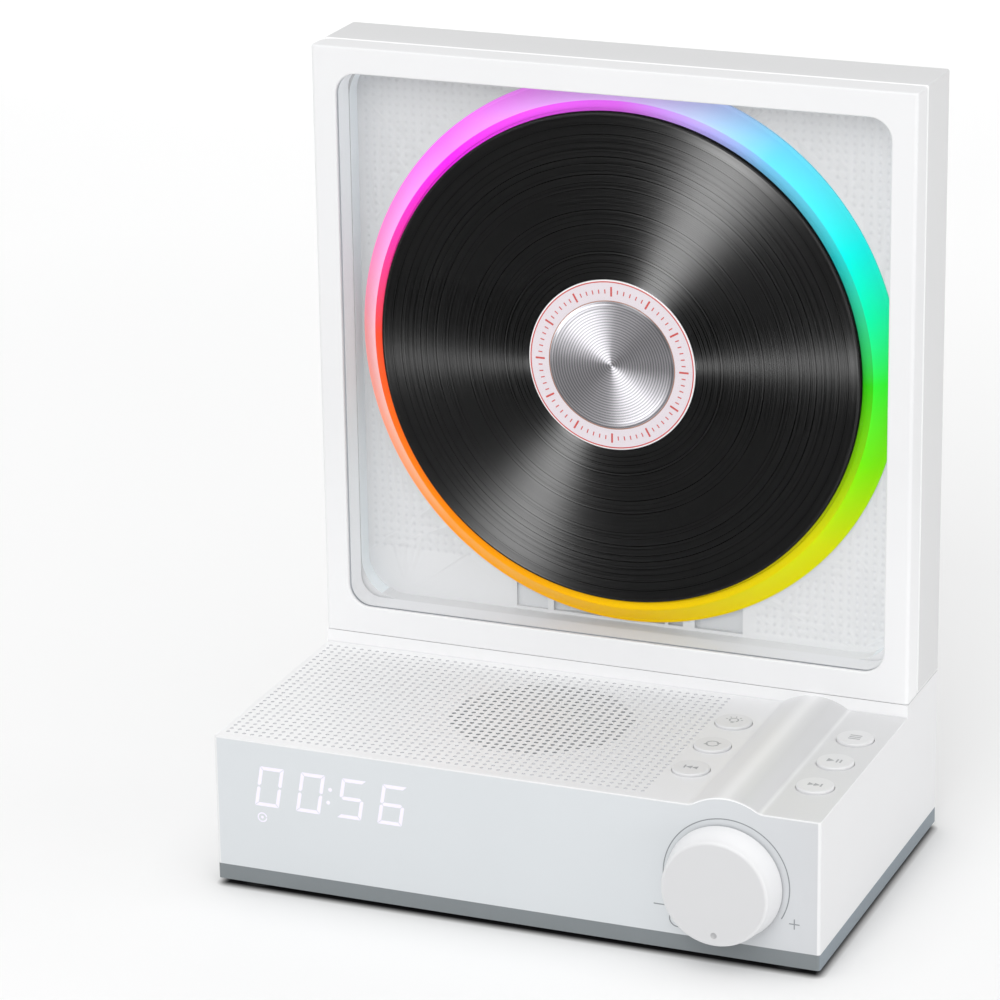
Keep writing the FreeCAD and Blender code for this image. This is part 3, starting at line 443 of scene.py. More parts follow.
def ring_material(name, pale, glow):
    """Light coming out through a diffuser, its hue set by the angle about the disc's axis."""
    mat, nt, bsdf = fresh(name)
    co = coords(nt)
    shift = nt.nodes.new("ShaderNodeVectorMath")
    shift.operation = "SUBTRACT"
    shift.inputs[1].default_value = (DISC_X * MM, 0.0, DISC_Z * MM)
    nt.links.new(co, shift.inputs[0])
    flat = nt.nodes.new("ShaderNodeVectorMath")
    flat.operation = "MULTIPLY"
    flat.inputs[1].default_value = (1.0, 0.0, 1.0)
    nt.links.new(shift.outputs["Vector"], flat.inputs[0])
    sep = nt.nodes.new("ShaderNodeSeparateXYZ")
    nt.links.new(flat.outputs["Vector"], sep.inputs[0])
    ang = nt.nodes.new("ShaderNodeMath")
    ang.operation = "ARCTAN2"
    nt.links.new(sep.outputs["X"], ang.inputs[0])
    nt.links.new(sep.outputs["Z"], ang.inputs[1])
    turn = nt.nodes.new("ShaderNodeMath")
    turn.operation = "MULTIPLY_ADD"
    turn.inputs[1].default_value = 1.0 / (2.0 * math.pi)
    turn.inputs[2].default_value = 1.0
    nt.links.new(ang.outputs[0], turn.inputs[0])
    wrap = nt.nodes.new("ShaderNodeMath")
    wrap.operation = "FRACT"
    nt.links.new(turn.outputs[0], wrap.inputs[0])
    color = hue_ramp(nt, wrap.outputs[0], RING_STOPS)
    if pale:
        soft = hue_ramp(nt, wrap.outputs[0], PALE_STOPS)
        rad = nt.nodes.new("ShaderNodeVectorMath")
        rad.operation = "LENGTH"
        nt.links.new(flat.outputs["Vector"], rad.inputs[0])
        fade = spread(nt, rad.outputs["Value"], 1.0, 0.6, 0.0768, 0.0812)
        mix = nt.nodes.new("ShaderNodeMix")
        mix.data_type = "RGBA"
        nt.links.new(fade, mix.inputs[0])
        nt.links.new(color, mix.inputs[6])
        nt.links.new(soft, mix.inputs[7])
        color = mix.outputs[2]
    # small unevenness of the diffuser
    fine = noise(nt, co, 220.0, 2.0)
    nt.links.new(spread(nt, fine, 0.32, 0.4), bsdf.inputs["Roughness"])
    bumped(nt, fine, bsdf, 0.15, 0.00002)
    nt.links.new(color, bsdf.inputs["Base Color"])
    nt.links.new(color, bsdf.inputs["Emission Color"])
    bsdf.inputs["Emission Strength"].default_value = glow
    bsdf.inputs["Specular IOR Level"].default_value = 0.08
    return mat


M["light_diffuser"] = ring_material("light_diffuser", False, 0.27)
M["light_pale"] = ring_material("light_pale", True, 0.27)


def lit_material():
    mat, nt, bsdf = fresh("lit_digit")
    co = coords(nt)
    n = noise(nt, co, 300.0, 2.0)
    tint = two_tone(nt, n, lin(230, 225, 240), lin(234, 229, 244))
    nt.links.new(tint, bsdf.inputs["Base Color"])
    nt.links.new(tint, bsdf.inputs["Emission Color"])
    bsdf.inputs["Emission Strength"].default_value = 0.16
    bsdf.inputs["Roughness"].default_value = 0.4
    return mat


M["lit_digit"] = lit_material()


def knob_material():
    mat, nt, bsdf = fresh("knob_satin")
    co = coords(nt)
    shift = nt.nodes.new("ShaderNodeVectorMath")
    shift.operation = "SUBTRACT"
    shift.inputs[1].default_value = (KNOB_X * MM, 0.0, KNOB_Z * MM)
    nt.links.new(co, shift.inputs[0])
    flat = nt.nodes.new("ShaderNodeVectorMath")
    flat.operation = "MULTIPLY"
    flat.inputs[1].default_value = (1.0, 0.0, 1.0)
    nt.links.new(shift.outputs["Vector"], flat.inputs[0])
    rad = nt.nodes.new("ShaderNodeVectorMath")
    rad.operation = "LENGTH"
    nt.links.new(flat.outputs["Vector"], rad.inputs[0])
    # painted light and shade: the knob's face is a darker tone than its rounded side
    face = spread(nt, rad.outputs["Value"], 0.0, 1.0, 0.0143, 0.0156)
    tone = two_tone(nt, face, (0.655, 0.657, 0.667), (0.830, 0.832, 0.842), 0.0, 1.0)
    # painted shade: a dark spot in the marker dimple
    spot = nt.nodes.new("ShaderNodeVectorMath")
    spot.operation = "DISTANCE"
    spot.inputs[1].default_value = (0.0, 0.0, -12.1 * MM)
    nt.links.new(flat.outputs["Vector"], spot.inputs[0])
    dimple_shade = nt.nodes.new("ShaderNodeMix")
    dimple_shade.data_type = "RGBA"
    nt.links.new(spread(nt, spot.outputs["Value"], 0.0, 1.0, 0.00078, 0.00098), dimple_shade.inputs[0])
    dimple_shade.inputs[6].default_value = (0.46, 0.46, 0.47, 1.0)
    nt.links.new(tone, dimple_shade.inputs[7])
    nt.links.new(dimple_shade.outputs[2], bsdf.inputs["Base Color"])
    fine = noise(nt, co, 1500.0, 3.0, 0.6)
    nt.links.new(spread(nt, fine, 0.36, 0.46), bsdf.inputs["Roughness"])
    bumped(nt, fine, bsdf, 0.2, 0.000008)
    return mat


M["knob_satin"] = knob_material()


def liner_material():
    """Light grey liner of the window, with painted light: its sill is a painted shade darker than its sides, the walls
    facing +X a painted lighter tone, and it glows faintly as painted light.
    """
    mat, nt, bsdf = fresh("grey_liner")
    co = coords(nt)
    sep = nt.nodes.new("ShaderNodeSeparateXYZ")
    nt.links.new(co, sep.inputs[0])
    sill = spread(nt, sep.outputs["Z"], 0.0, 1.0, 0.0586, 0.0646)
    wall = spread(nt, axes(nt, nt.nodes.new("ShaderNodeTexCoord").outputs["Normal"])["X"], 0.0, 1.0, 0.3, 0.7)
    # painted light: the walls facing +X, above the sill, take a lighter tone
    lit_wall_band = times(nt, wall, spread(nt, sep.outputs["Z"], 0.0, 1.0, 0.0646, 0.1))
    shade = nt.nodes.new("ShaderNodeMix")
    shade.data_type = "RGBA"
    nt.links.new(lit_wall_band, shade.inputs[0])
    nt.links.new(two_tone(nt, sill, lin(223, 224, 226), lin(230, 231, 233), 0.0, 1.0), shade.inputs[6])
    shade.inputs[7].default_value = (*lin(228, 232, 234), 1.0)
    nt.links.new(shade.outputs[2], bsdf.inputs["Base Color"])
    fine = noise(nt, co, 1400.0, 3.0, 0.6)
    nt.links.new(spread(nt, fine, 0.41, 0.49), bsdf.inputs["Roughness"])
    bumped(nt, fine, bsdf, 0.25, 0.00001)
    # painted glow, weaker on the sill: emission stands in for light of the lamp ring scattered inside the compartment
    bsdf.inputs["Emission Color"].default_value = (*lin(234, 235, 237), 1.0)
    nt.links.new(spread(nt, sep.outputs["Z"], 0.10, 0.16, 0.0586, 0.0646), bsdf.inputs["Emission Strength"])
    return mat


M["grey_liner"] = liner_material()

# every carried-over node takes the finish of its slot
OWN = {"volume_knob": "knob_satin", "top_case": "case_white", "rear_shell": "shell_white", "door_frame": "door_white",
       "key_lamp": "key_white", "key_repeat": "key_white", "key_previous": "key_white", "key_mode": "key_white",
       "key_play_pause": "key_white", "key_next": "key_white"}
SLOT_OF = {s["node"]: s["material_slot"] for s in frame["record"]["subparts"]}
for name, ob in NODES.items():
    ob.data.materials.clear()
    ob.data.materials.append(M[OWN.get(name, SLOT_OF[name])])


# ---- mesh helpers ---------------------------------------------------------------------------------
def add(name, verts, faces, body, mats, face_mats=None, angle=32.0, stands_for=()):
    mesh = bpy.data.meshes.new(name)
    mesh.from_pydata([(x * MM, y * MM, z * MM) for x, y, z in verts], [], faces)
    for m in mats:
        mesh.materials.append(m)
    if face_mats:
        mesh.polygons.foreach_set("material_index", face_mats)
    bm = bmesh.new()
    bm.from_mesh(mesh)
    bmesh.ops.recalc_face_normals(bm, faces=bm.faces)
    bm.to_mesh(mesh)
    bm.free()
    mesh.polygons.foreach_set("use_smooth", [True] * len(mesh.polygons))
    mesh.set_sharp_from_angle(angle=math.radians(angle))
    ob = bpy.data.objects.new(name, mesh)
    bpy.context.scene.collection.objects.link(ob)
    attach(ob, body)
    if stands_for:
        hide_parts(*stands_for)
    return ob


class Heap:
    """Collects closed shapes into one mesh."""

    def __init__(self):
        self.verts, self.faces, self.mats = [], [], []

    def put(self, verts, faces, mat=0):
        k = len(self.verts)
        self.verts += verts
        self.faces += [[k + i for i in f] for f in faces]
        self.mats += [mat] * len(faces)

    def prism(self, poly, w0, w1, place, mat=0):
        n = len(poly)
        verts = [place(u, v, w0) for u, v in poly] + [place(u, v, w1) for u, v in poly]
        faces = [list(range(n)), list(range(2 * n - 1, n - 1, -1))]
        faces += [[i, (i + 1) % n, n + (i + 1) % n, n + i] for i in range(n)]
        self.put(verts, faces, mat)

    def taper(self, u, v, r0, w0, r1, w1, seg, place, mat=0):
        verts = []
        for r, w in ((r0, w0), (r1, w1)):
            for i in range(seg):
                a = 2.0 * math.pi * (i + 0.5) / seg
                verts.append(place(u + r * math.cos(a), v + r * math.sin(a), w))
        faces = [list(range(seg)), list(range(2 * seg - 1, seg - 1, -1))]
        faces += [[i, (i + 1) % seg, seg + (i + 1) % seg, seg + i] for i in range(seg)]
        self.put(verts, faces, mat)


def lathe(profile, n, closed=True, mats=None, cx=DISC_X, cz=DISC_Z):
    """Turns a profile of (radius, y) about the Y axis through (cx, cz)."""
    verts, faces, fm, rows = [], [], [], []
    for r, y in profile:
        if r < 1e-9:
            rows.append([len(verts)])
            verts.append((cx, y, cz))
        else:
            rows.append(list(range(len(verts), len(verts) + n)))
            for i in range(n):
                a = 2.0 * math.pi * i / n
                verts.append((cx + r * math.sin(a), y, cz + r * math.cos(a)))
    spans = len(profile) if closed else len(profile) - 1
    for k in range(spans):
        a, b = rows[k], rows[(k + 1) % len(rows)]
        m = mats[k] if mats else 0
        for i in range(n):
            j = (i + 1) % n
            if len(a) == 1 and len(b) == 1:
                continue
            if len(a) == 1:
                faces.append([a[0], b[j], b[i]])
            elif len(b) == 1:
                faces.append([a[i], a[j], b[0]])
            else:
                faces.append([a[i], a[j], b[j], b[i]])
            fm.append(m)
    return verts, faces, fm


def arc_band(r, t, a0, a1, steps, cu=0.0, cv=0.0):
    """Band of a circle, angles in degrees from +u towards +v."""
    out, inn = [], []
    for i in range(steps + 1):
        a = math.radians(a0 + (a1 - a0) * i / steps)
        out.append((cu + (r + t / 2) * math.cos(a), cv + (r + t / 2) * math.sin(a)))
        inn.append((cu + (r - t / 2) * math.cos(a), cv + (r - t / 2) * math.sin(a)))
    return out + inn[::-1]


def bar(u0, v0, u1, v1, t):
    """Straight stroke from one point to another."""
    d = math.hypot(u1 - u0, v1 - v0)
    nx, ny = -(v1 - v0) / d * t / 2, (u1 - u0) / d * t / 2
    return [(u0 + nx, v0 + ny), (u1 + nx, v1 + ny), (u1 - nx, v1 - ny), (u0 - nx, v0 - ny)]


def on_front(u, v, w):
    return (u, w, v)


# ---- perforated speaker plate -----------------------------------------------------------------------
def speaker_plate():
    zt, zb, seg = 45.7, 43.7, 12
    xs = [-87.5 + 2.5 * i for i in range(51)]
    ys = [-6.3 + 2.46 * k for k in range(-16, 14)]
    ex = [-88.75 + 2.5 * i for i in range(51)] + [38.3]
    ey = [-46.89 + 2.46 * k for k in range(30)] + [26.91]
    verts, faces, mats = [], [], []

    def v(x, y, z):
        verts.append((x, y, z))
        return len(verts) - 1

    top = [[v(x, y, zt) for y in ey] for x in ex]
    low = [[v(x, y, zb) for y in ey] for x in ex]

    def ring(cx, cy, r, z):
        return [v(cx + r * math.cos(math.radians(45 + 360 * i / seg)), cy + r * math.sin(math.radians(45 + 360 * i / seg)), z)
                for i in range(seg)]

    def face(f, m=0):
        faces.append(f)
        mats.append(m)

    def around(corners, r):
        # corners (+,+), (-,+), (-,-), (+,-) joined to the ring quarter by quarter
        q = seg // 4
        for s in range(4):
            a, b = corners[s], corners[(s + 1) % 4]
            face([a, b] + [r[((s + 1) * q - t) % seg] for t in range(q + 1)])

    for i, cx in enumerate(xs):
        for k, cy in enumerate(ys):
            through = (i - 32) ** 2 + (k - 16) ** 2 <= 112
            corners = [top[i + 1][k + 1], top[i][k + 1], top[i][k], top[i + 1][k]]
            r0 = ring(cx, cy, 0.74 if through else 0.58, zt)
            r1 = ring(cx, cy, 0.69 if through else 0.54, zt - 0.06)
            r2 = ring(cx, cy, 0.66 if through else 0.48, zb if through else zt - 0.2)
            around(corners, r0)
            for a, b, m in ((r0, r1, 0 if through else 3), (r1, r2, 1 if through else 3)):
                for t in range(seg):
                    face([a[t], a[(t + 1) % seg], b[(t + 1) % seg], b[t]], m)
            below = [low[i + 1][k + 1], low[i][k + 1], low[i][k], low[i + 1][k]]
            if through:
                around(below, r2)
            else:
                mid = v(cx, cy, zt - 0.21)
                for t in range(seg):
                    face([r2[t], r2[(t + 1) % seg], mid], 2)
                face(below)
    nx, ny = len(ex), len(ey)
    for i in range(nx - 1):
        for k in (0, ny - 1):
            face([top[i][k], top[i + 1][k], low[i + 1][k], low[i][k]])
    for k in range(ny - 1):
        for i in (0, nx - 1):
            face([top[i][k], top[i][k + 1], low[i][k + 1], low[i][k]])
    add("speaker_plate", verts, faces, "cabinet", [M["plate_white"], M["hole_wall"], M["dimple_grey"], M["dimple_wall"]], mats,
        stands_for=["speaker_grille"])


speaker_plate()


# ---- record-look clamp disc -------------------------------------------------------------------------
def record():
    # crowned plate: flat middle, slow cone with grooves of uneven depth, flat rim
    yc, yf, yb, rim = 31.9, 35.4, 37.4, 72.9
    r_in, r_out = 26.0, 70.0

    def crown(r):
        return yc + (yf - yc) * min(1.0, max(0.0, (r - r_in) / (r_out - r_in)))

    prof = [(0.0, yc), (25.6, yc), (25.7, yc + 0.03)]
    r, k, step = r_in, 7, 0.55
    while r < r_out - step:
        k = (k * 1103 + 12345) % 65536
        y, land = crown(r), 0.525 + 0.012 * (k / 65536.0)
        prof.append((r, y + 0.001))
        prof.append((r + land, y + 0.001))
        r += step
    prof += [(r_out + 0.4, yf), (rim - 0.7, yf), (rim - 0.25, yf + 0.12), (rim, yf + 0.5), (rim, yb - 0.4), (rim - 0.3, yb)]
    prof += [(68.5, yb), (24.5, 33.9), (20.0, 33.9), (20.0, yb), (6.0, yb), (6.0, 36.2), (0.0, 36.2)]
    mats = [1 if min(a[0], b[0]) > rim - 0.75 else 0 for a, b in zip(prof, prof[1:])]
    verts, faces, fm = lathe(prof, 240, False, mats)
    add("record_face", verts, faces, "platter", [M["record_black"], M["record_rim"]], fm, 9.0, ["record_disc"])


def label():
    y0, y1 = 31.6, 31.9
    prof = [(18.9, y1), (18.9, y0 + 0.02), (19.15, y0), (24.45, y0), (24.45, y0 - 0.02), (24.8, y0 - 0.02), (24.8, y0),
            (25.0, y0), (25.2, y0 + 0.1), (25.2, y1)]
    mats = [3, 3, 0, 1, 1, 1, 2, 2, 2, 0]
    verts, faces, fm = lathe(prof, 180, True, mats)
    h = Heap()
    h.put(verts, faces)
    h.mats = fm
    for i in range(72):
        a = math.radians(5.0 * i)
        big = i % 6 == 0
        r0, r1, t = (20.4, 23.2, 0.55) if big else (21.2, 22.4, 0.32)
        u, w = math.sin(a), math.cos(a)
        quad = bar(DISC_X + r0 * u, DISC_Z + r0 * w, DISC_X + r1 * u, DISC_Z + r1 * w, t)
        h.prism(quad, y0 - 0.03, y0 + 0.05, on_front, 1)
    add("label_ring", h.verts, h.faces, "platter",
        [M["label_print"], M["label_red"], M["label_rim"], M["label_bronze"]], h.mats, 30.0, ["record_label"])


def hub():
    # thin turned cap: crowned face with real turning steps, chamfered rim
    prof = [(0.0, 31.36)]
    r = 0.6
    while r < 17.0:
        y = 31.36 - 0.02 * (r / 18.0) ** 2
        prof.append((r, y + 0.045))
        prof.append((r + 0.4, y - 0.045))
        r += 0.8
    prof += [(17.9, 31.3), (18.2, 31.33), (18.6, 31.48), (18.9, 31.66), (18.9, 31.9), (0.0, 31.9)]
    verts, faces, fm = lathe(prof, 180, False)
    add("hub_face", verts, faces, "platter", [M["hub_metal"]], None, 50.0, ["hub_cap"])


record()
label()
hub()


# ---- light ring -------------------------------------------------------------------------------------
def light_ring():
    prof = [(69.0, 44.0), (69.0, 38.1), (69.1, 38.0), (73.5, 38.0), (73.65, 37.55), (73.85, 37.45), (75.6, 37.45), (75.8, 37.51),
            (76.6, 38.35), (80.6, 42.7), (80.95, 42.95), (81.5, 43.02), (81.7, 43.2), (81.7, 44.0), (74.8, 44.0), (74.8, 41.4),
            (70.2, 41.4), (70.2, 44.0)]
    mats = [0, 0, 0, 0, 0, 0, 0, 1, 1, 1, 1, 1, 1, 0, 0, 0, 0, 0]
    verts, faces, fm = lathe(prof, 256, True, mats)
    ob = add("glow_ring", verts, faces, "cabinet", [M["light_diffuser"], M["light_pale"]], fm, 40.0,
             ["light_ring"])
    ob.visible_diffuse = False  # its colours stay in the ring and don't tint the white case


light_ring()


# ---- disc well with small dimples and the drive's ribbed foot ---------------------------------------
def disc_well():
    src = NODES["disc_well"].data
    mesh = bpy.data.meshes.new("well_liner")
    mesh.from_pydata([v.co.copy() for v in src.vertices], [], [list(f.vertices) for f in src.polygons])
    bm = bmesh.new()
    bm.from_mesh(mesh)
    bmesh.ops.remove_doubles(bm, verts=bm.verts, dist=1e-6)
    bmesh.ops.recalc_face_normals(bm, faces=bm.faces)
    bm.to_mesh(mesh)
    bm.free()
    ob = bpy.data.objects.new("well_liner", mesh)
    bpy.context.scene.collection.objects.link(ob)
    h = Heap()
    floor = 44.0
    for i in range(-33, 34):
        for k in range(-33, 34):
            x, z = 2.5 * i, 140.2 + 2.5 * k
            if math.hypot(x - DISC_X, z - DISC_Z) < 83.4 or abs(x) > 81.4 or not 58.9 < z < 221.4:
                continue
            cx, cz = max(abs(x) - 70.6, 0.0), max(abs(z - 140.15) - 70.45, 0.0)
            if math.hypot(cx, cz) > 10.6:
                continue
            if z < 72.0 and (abs(x) < 40.0 or x < 0.0):
                continue
            h.taper(x, z, 0.68, floor - 0.08, 0.32, floor + 0.10, 10, on_front)
    # pockets of the foot, ribs left standing between them
    for x0, x1, d in ((-35.0, -25.2, 0.9), (-23.4, -8.2, 1.5), (-6.4, 2.2, 1.6), (3.4, 11.4, 1.2), (12.4, 17.0, 1.5),
                      (20.6, 35.4, 1.6)):
        h.prism([(x0, 58.6), (x1, 58.6), (x1, 70.0), (x0, 70.0)], floor - 0.6, floor + d, on_front)
    tool_mesh = bpy.data.meshes.new("well_tool")
    tool_mesh.from_pydata([(x * MM, y * MM, z * MM) for x, y, z in h.verts], [], h.faces)
    bm = bmesh.new()
    bm.from_mesh(tool_mesh)
    bmesh.ops.recalc_face_normals(bm, faces=bm.faces)
    bm.to_mesh(tool_mesh)
    bm.free()
    tool = bpy.data.objects.new("well_tool", tool_mesh)
    bpy.context.scene.collection.objects.link(tool)
    mod = ob.modifiers.new("dimples", "BOOLEAN")
    mod.operation = "DIFFERENCE"
    mod.solver = "EXACT"
    mod.object = tool
    bpy.context.view_layer.update()
    dg = bpy.context.evaluated_depsgraph_get()
    done = bpy.data.meshes.new_from_object(ob.evaluated_get(dg))
    ob.modifiers.remove(mod)
    ob.data = done
    bpy.data.objects.remove(tool)
    bpy.data.meshes.remove(tool_mesh)
    bpy.data.meshes.remove(mesh)
    done.name = "well_liner"
    done.materials.clear()
    done.materials.append(M["well_grey"])
    for n in ("well_band", "well_dot", "well_pocket"):
        done.materials.append(M[n])
    for f in done.polygons:
        f.use_smooth = abs(f.normal.y) < 0.999
        inside = abs(f.center.x) < 0.0828 and 0.0574 < f.center.z < 0.2228
        deep = f.center.y - floor * MM
        if inside and 0.00001 < deep < 0.003:
            f.material_index = 2 if deep < 0.0002 else 3
        # painted light: side walls inside the compartment take the lighter, glowing well_band
        elif inside and abs(f.normal.x) > 0.5:
            f.material_index = 1
    done.set_sharp_from_angle(angle=math.radians(30.0))
    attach(ob, "cabinet")
    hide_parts("disc_well")


disc_well()


# ---- pane with a frosted border where it sits in its rebate ---------------------------------------------
def rounded(hx, z0, z1, r, seg):
    out = []
    for cx, cz, a0 in ((hx - r, z1 - r, 0), (-hx + r, z1 - r, 90), (-hx + r, z0 + r, 180), (hx - r, z0 + r, 270)):
        for i in range(seg + 1):
            a = math.radians(a0 + 90.0 * i / seg)
            out.append((cx + r * math.cos(a), cz + r * math.sin(a)))
    return out


def window_glass():
    y0, y1, seg = 29.9, 30.9, 10
    inner, outer = rounded(82.6, 58.0, 219.8, 6.5, seg), rounded(84.6, 56.0, 221.8, 8.5, seg)
    n = len(inner)
    verts = [(x, y, z) for y in (y0, y1) for loop in (inner, outer) for x, z in loop]
    fi, fo, bi, bo = 0, n, 2 * n, 3 * n
    faces, mats = [list(range(n)), list(range(bi, bi + n))], [0, 0]
    for i in range(n):
        j = (i + 1) % n
        for a, b in ((fi, fo), (fo, bo), (bo, bi)):
            faces.append([a + i, a + j, b + j, b + i])
            mats.append(1)
    add("window_glass", verts, faces, "door", [M["clear_pane"], M["pane_border"]], mats, 30.0, ["window_pane"])


window_glass()


# ---- rear shell with its sunk field and vent slots ------------------------------------------------------
def rear_cover():
    src = NODES["rear_shell"].data
    mesh = bpy.data.meshes.new("rear_cover")
    mesh.from_pydata([v.co.copy() for v in src.vertices], [], [list(f.vertices) for f in src.polygons])
    bm = bmesh.new()
    bm.from_mesh(mesh)
    bmesh.ops.remove_doubles(bm, verts=bm.verts, dist=1e-6)
    bmesh.ops.recalc_face_normals(bm, faces=bm.faces)
    bm.to_mesh(mesh)
    bm.free()
    ob = bpy.data.objects.new("rear_cover", mesh)
    bpy.context.scene.collection.objects.link(ob)
    fields = Heap()
    fields.prism(rounded(74.0, 65.0, 212.0, 9.0, 10), 58.4, 60.0, on_front)
    slots = Heap()
    for row in range(6):
        for cx in (-34.0, 0.0, 34.0):
            z, half, r = 78.0 + 5.0 * row, 11.0, 0.9
            cap = [(cx + half + r * math.sin(a), z + r * math.cos(a)) for a in [math.pi * i / 8 for i in range(9)]]
            cap += [(cx - half - r * math.sin(a), z - r * math.cos(a)) for a in [math.pi * i / 8 for i in range(9)]]
            slots.prism(cap, 56.0, 59.0, on_front)
    bpy.context.view_layer.update()
    for h in (fields, slots):
        tool_mesh = bpy.data.meshes.new("cover_tool")
        tool_mesh.from_pydata([(x * MM, y * MM, z * MM) for x, y, z in h.verts], [], h.faces)
        bm = bmesh.new()
        bm.from_mesh(tool_mesh)
        bmesh.ops.recalc_face_normals(bm, faces=bm.faces)
        bm.to_mesh(tool_mesh)
        bm.free()
        tool = bpy.data.objects.new("cover_tool", tool_mesh)
        bpy.context.scene.collection.objects.link(tool)
        mod = ob.modifiers.new("carve", "BOOLEAN")
        mod.operation = "DIFFERENCE"
        mod.solver = "EXACT"
        mod.object = tool
        bpy.context.view_layer.update()
        done = bpy.data.meshes.new_from_object(ob.evaluated_get(bpy.context.evaluated_depsgraph_get()))
        ob.modifiers.remove(mod)
        old, ob.data = ob.data, done
        bpy.data.meshes.remove(old)
        bpy.data.objects.remove(tool)
        bpy.data.meshes.remove(tool_mesh)
    done = ob.data
    done.name = "rear_cover"
    done.materials.clear()
    done.materials.append(M["shell_white"])
    for f in done.polygons:
        f.use_smooth = True
        f.material_index = 0
    done.set_sharp_from_angle(angle=math.radians(24.0))
    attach(ob, "cabinet")
    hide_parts("rear_shell")


rear_cover()


# ---- display ----------------------------------------------------------------------------------------
def display():
    h = Heap()
    t, gap, wd, ht, lean = 1.05, 0.16, 7.4, 12.1, 2.0

    def slant(poly, x0, z0):
        return [(x0 + u + lean * v / ht, z0 + v) for u, v in poly]

    half = ht / 2.0
    q = t / 2.0
    seg = {
        "a": [(gap, ht), (wd - gap, ht), (wd - t - gap, ht - t), (t + gap, ht - t)],
        "d": [(gap, 0), (t + gap, t), (wd - t - gap, t), (wd - gap, 0)],
        "g": [(gap + q, half), (t + gap, half + q), (wd - t - gap, half + q), (wd - gap - q, half), (wd - t - gap, half - q),
              (t + gap, half - q)],
        "f": [(0, ht - gap), (t, ht - t - gap), (t, half + q + gap), (q, half + gap), (0, half + q * 0.6 + gap)],
        "e": [(0, gap), (0, half - q * 0.6 - gap), (q, half - gap), (t, half - q - gap), (t, t + gap)],
        "b": [(wd, ht - gap), (wd, half + q * 0.6 + gap), (wd - q, half + gap), (wd - t, half + q + gap), (wd - t, ht - t - gap)],
        "c": [(wd, gap), (wd - t, t + gap), (wd - t, half - q - gap), (wd - q, half - gap), (wd, half - q * 0.6 - gap)],
    }
    for x0, lit in ((-77.8, "abcdef"), (-65.1, "abcdef"), (-52.5, "afgcd"), (-40.1, "afgedc")):
        for s in lit:
            h.prism(slant(seg[s], x0, 26.3), -50.03, -49.9, on_front)
    for u, v in ((-54.3, 34.3), (-55.0, 30.3)):
        h.prism([(u + 0.58 * math.cos(2 * math.pi * i / 20), v + 0.58 * math.sin(2 * math.pi * i / 20)) for i in range(20)],
                -50.03, -49.9, on_front)
    # small disc mark under the first digit
    h.prism(arc_band(1.3, 0.34, 8, 352, 36, -75.6, 22.8), -50.03, -49.9, on_front)
    h.prism([(-75.6 + 0.42 * math.cos(2 * math.pi * i / 16), 22.8 + 0.42 * math.sin(2 * math.pi * i / 16)) for i in range(16)],
            -50.03, -49.9, on_front)
    add("display_digits", h.verts, h.faces, "cabinet", [M["lit_digit"]], None, 30.0)


display()


# ---- printed marks round the knob ---------------------------------------------------------------------
def knob_marks():
    h = Heap()
    y0, y1 = -50.03, -49.9
    h.prism(arc_band(18.15, 0.3, -29, 225, 120, KNOB_X + 0.45, KNOB_Z + 0.45), y0, y1, on_front)
    h.prism([(81.2, 14.64), (82.54, 14.64), (82.54, 13.3), (82.86, 13.3), (82.86, 14.64), (84.2, 14.64), (84.2, 14.96),
             (82.86, 14.96), (82.86, 16.3), (82.54, 16.3), (82.54, 14.96), (81.2, 14.96)], y0, y1, on_front)
    h.prism(bar(42.2, 14.8, 45.4, 14.8, 0.34), y0, y1, on_front)
    h.prism(arc_band(2.4, 0.34, 120, 420, 60, 49.2, 11.2), y0, y1, on_front)
    h.prism(bar(49.2, 11.6, 49.2, 14.0, 0.34), y0, y1, on_front)
    add("panel_marks", h.verts, h.faces, "cabinet", [M["mark_grey"]], None, 30.0)


knob_marks()


# ---- key marks ------------------------------------------------------------------------------------------
def key_marks():
    z0, z1 = 46.51, 46.58

    def at(cx, cy):
        return lambda u, v, w: (cx + u, cy + v, w)

    def tri(u, v, s):
        return [(u - s * 0.5, v - s * 0.58), (u + s * 0.5, v), (u - s * 0.5, v + s * 0.58)]

    def flip(poly):
        return [(-u, v) for u, v in poly][::-1]

    keys = {}
    lamp = [arc_band(1.25, 0.42, -50, 230, 40, 0.0, 0.35), bar(-0.62, -1.0, 0.62, -1.0, 0.4), bar(-0.45, -1.6, 0.45, -1.6, 0.36)]
    for k in range(5):
        a = math.radians(10 + 40 * k)
        lamp.append(bar(1.95 * math.cos(a), 0.35 + 1.95 * math.sin(a), 2.6 * math.cos(a), 0.35 + 2.6 * math.sin(a), 0.34))
    keys["lamp_key"] = (44.9, 8.7, lamp)
    keys["repeat_key"] = (44.9, -9.4, [arc_band(1.75, 0.42, 35, 175, 40), arc_band(1.75, 0.42, 215, 355, 40),
                                       [(2.35, 1.1), (0.85, 0.9), (1.75, -0.1)], [(-2.35, -1.1), (-0.85, -0.9), (-1.75, 0.1)]])
    fwd = [tri(-1.15, 0, 1.7), tri(0.55, 0, 1.7), bar(1.75, -1.0, 1.75, 1.0, 0.5)]
    keys["next_key"] = (80.9, -27.3, fwd)
    keys["previous_key"] = (44.9, -27.3, [flip(p) for p in fwd])
    keys["play_key"] = (80.9, -9.4, [tri(-1.3, 0, 2.0), bar(0.55, -1.1, 0.55, 1.1, 0.5), bar(1.6, -1.1, 1.6, 1.1, 0.5)])
    keys["mode_key"] = (80.9, 8.7, [bar(-1.7, 1.2, 1.7, 1.2, 0.5), bar(-1.7, 0.0, 1.7, 0.0, 0.5), bar(-1.7, -1.2, 1.7, -1.2, 0.5)])
    for body, (cx, cy, polys) in keys.items():
        h = Heap()
        for poly in polys:
            h.prism(poly, z0, z1, at(cx, cy))
        add(body + "_mark", h.verts, h.faces, body, [M["key_mark"]], None, 30.0)


key_marks()


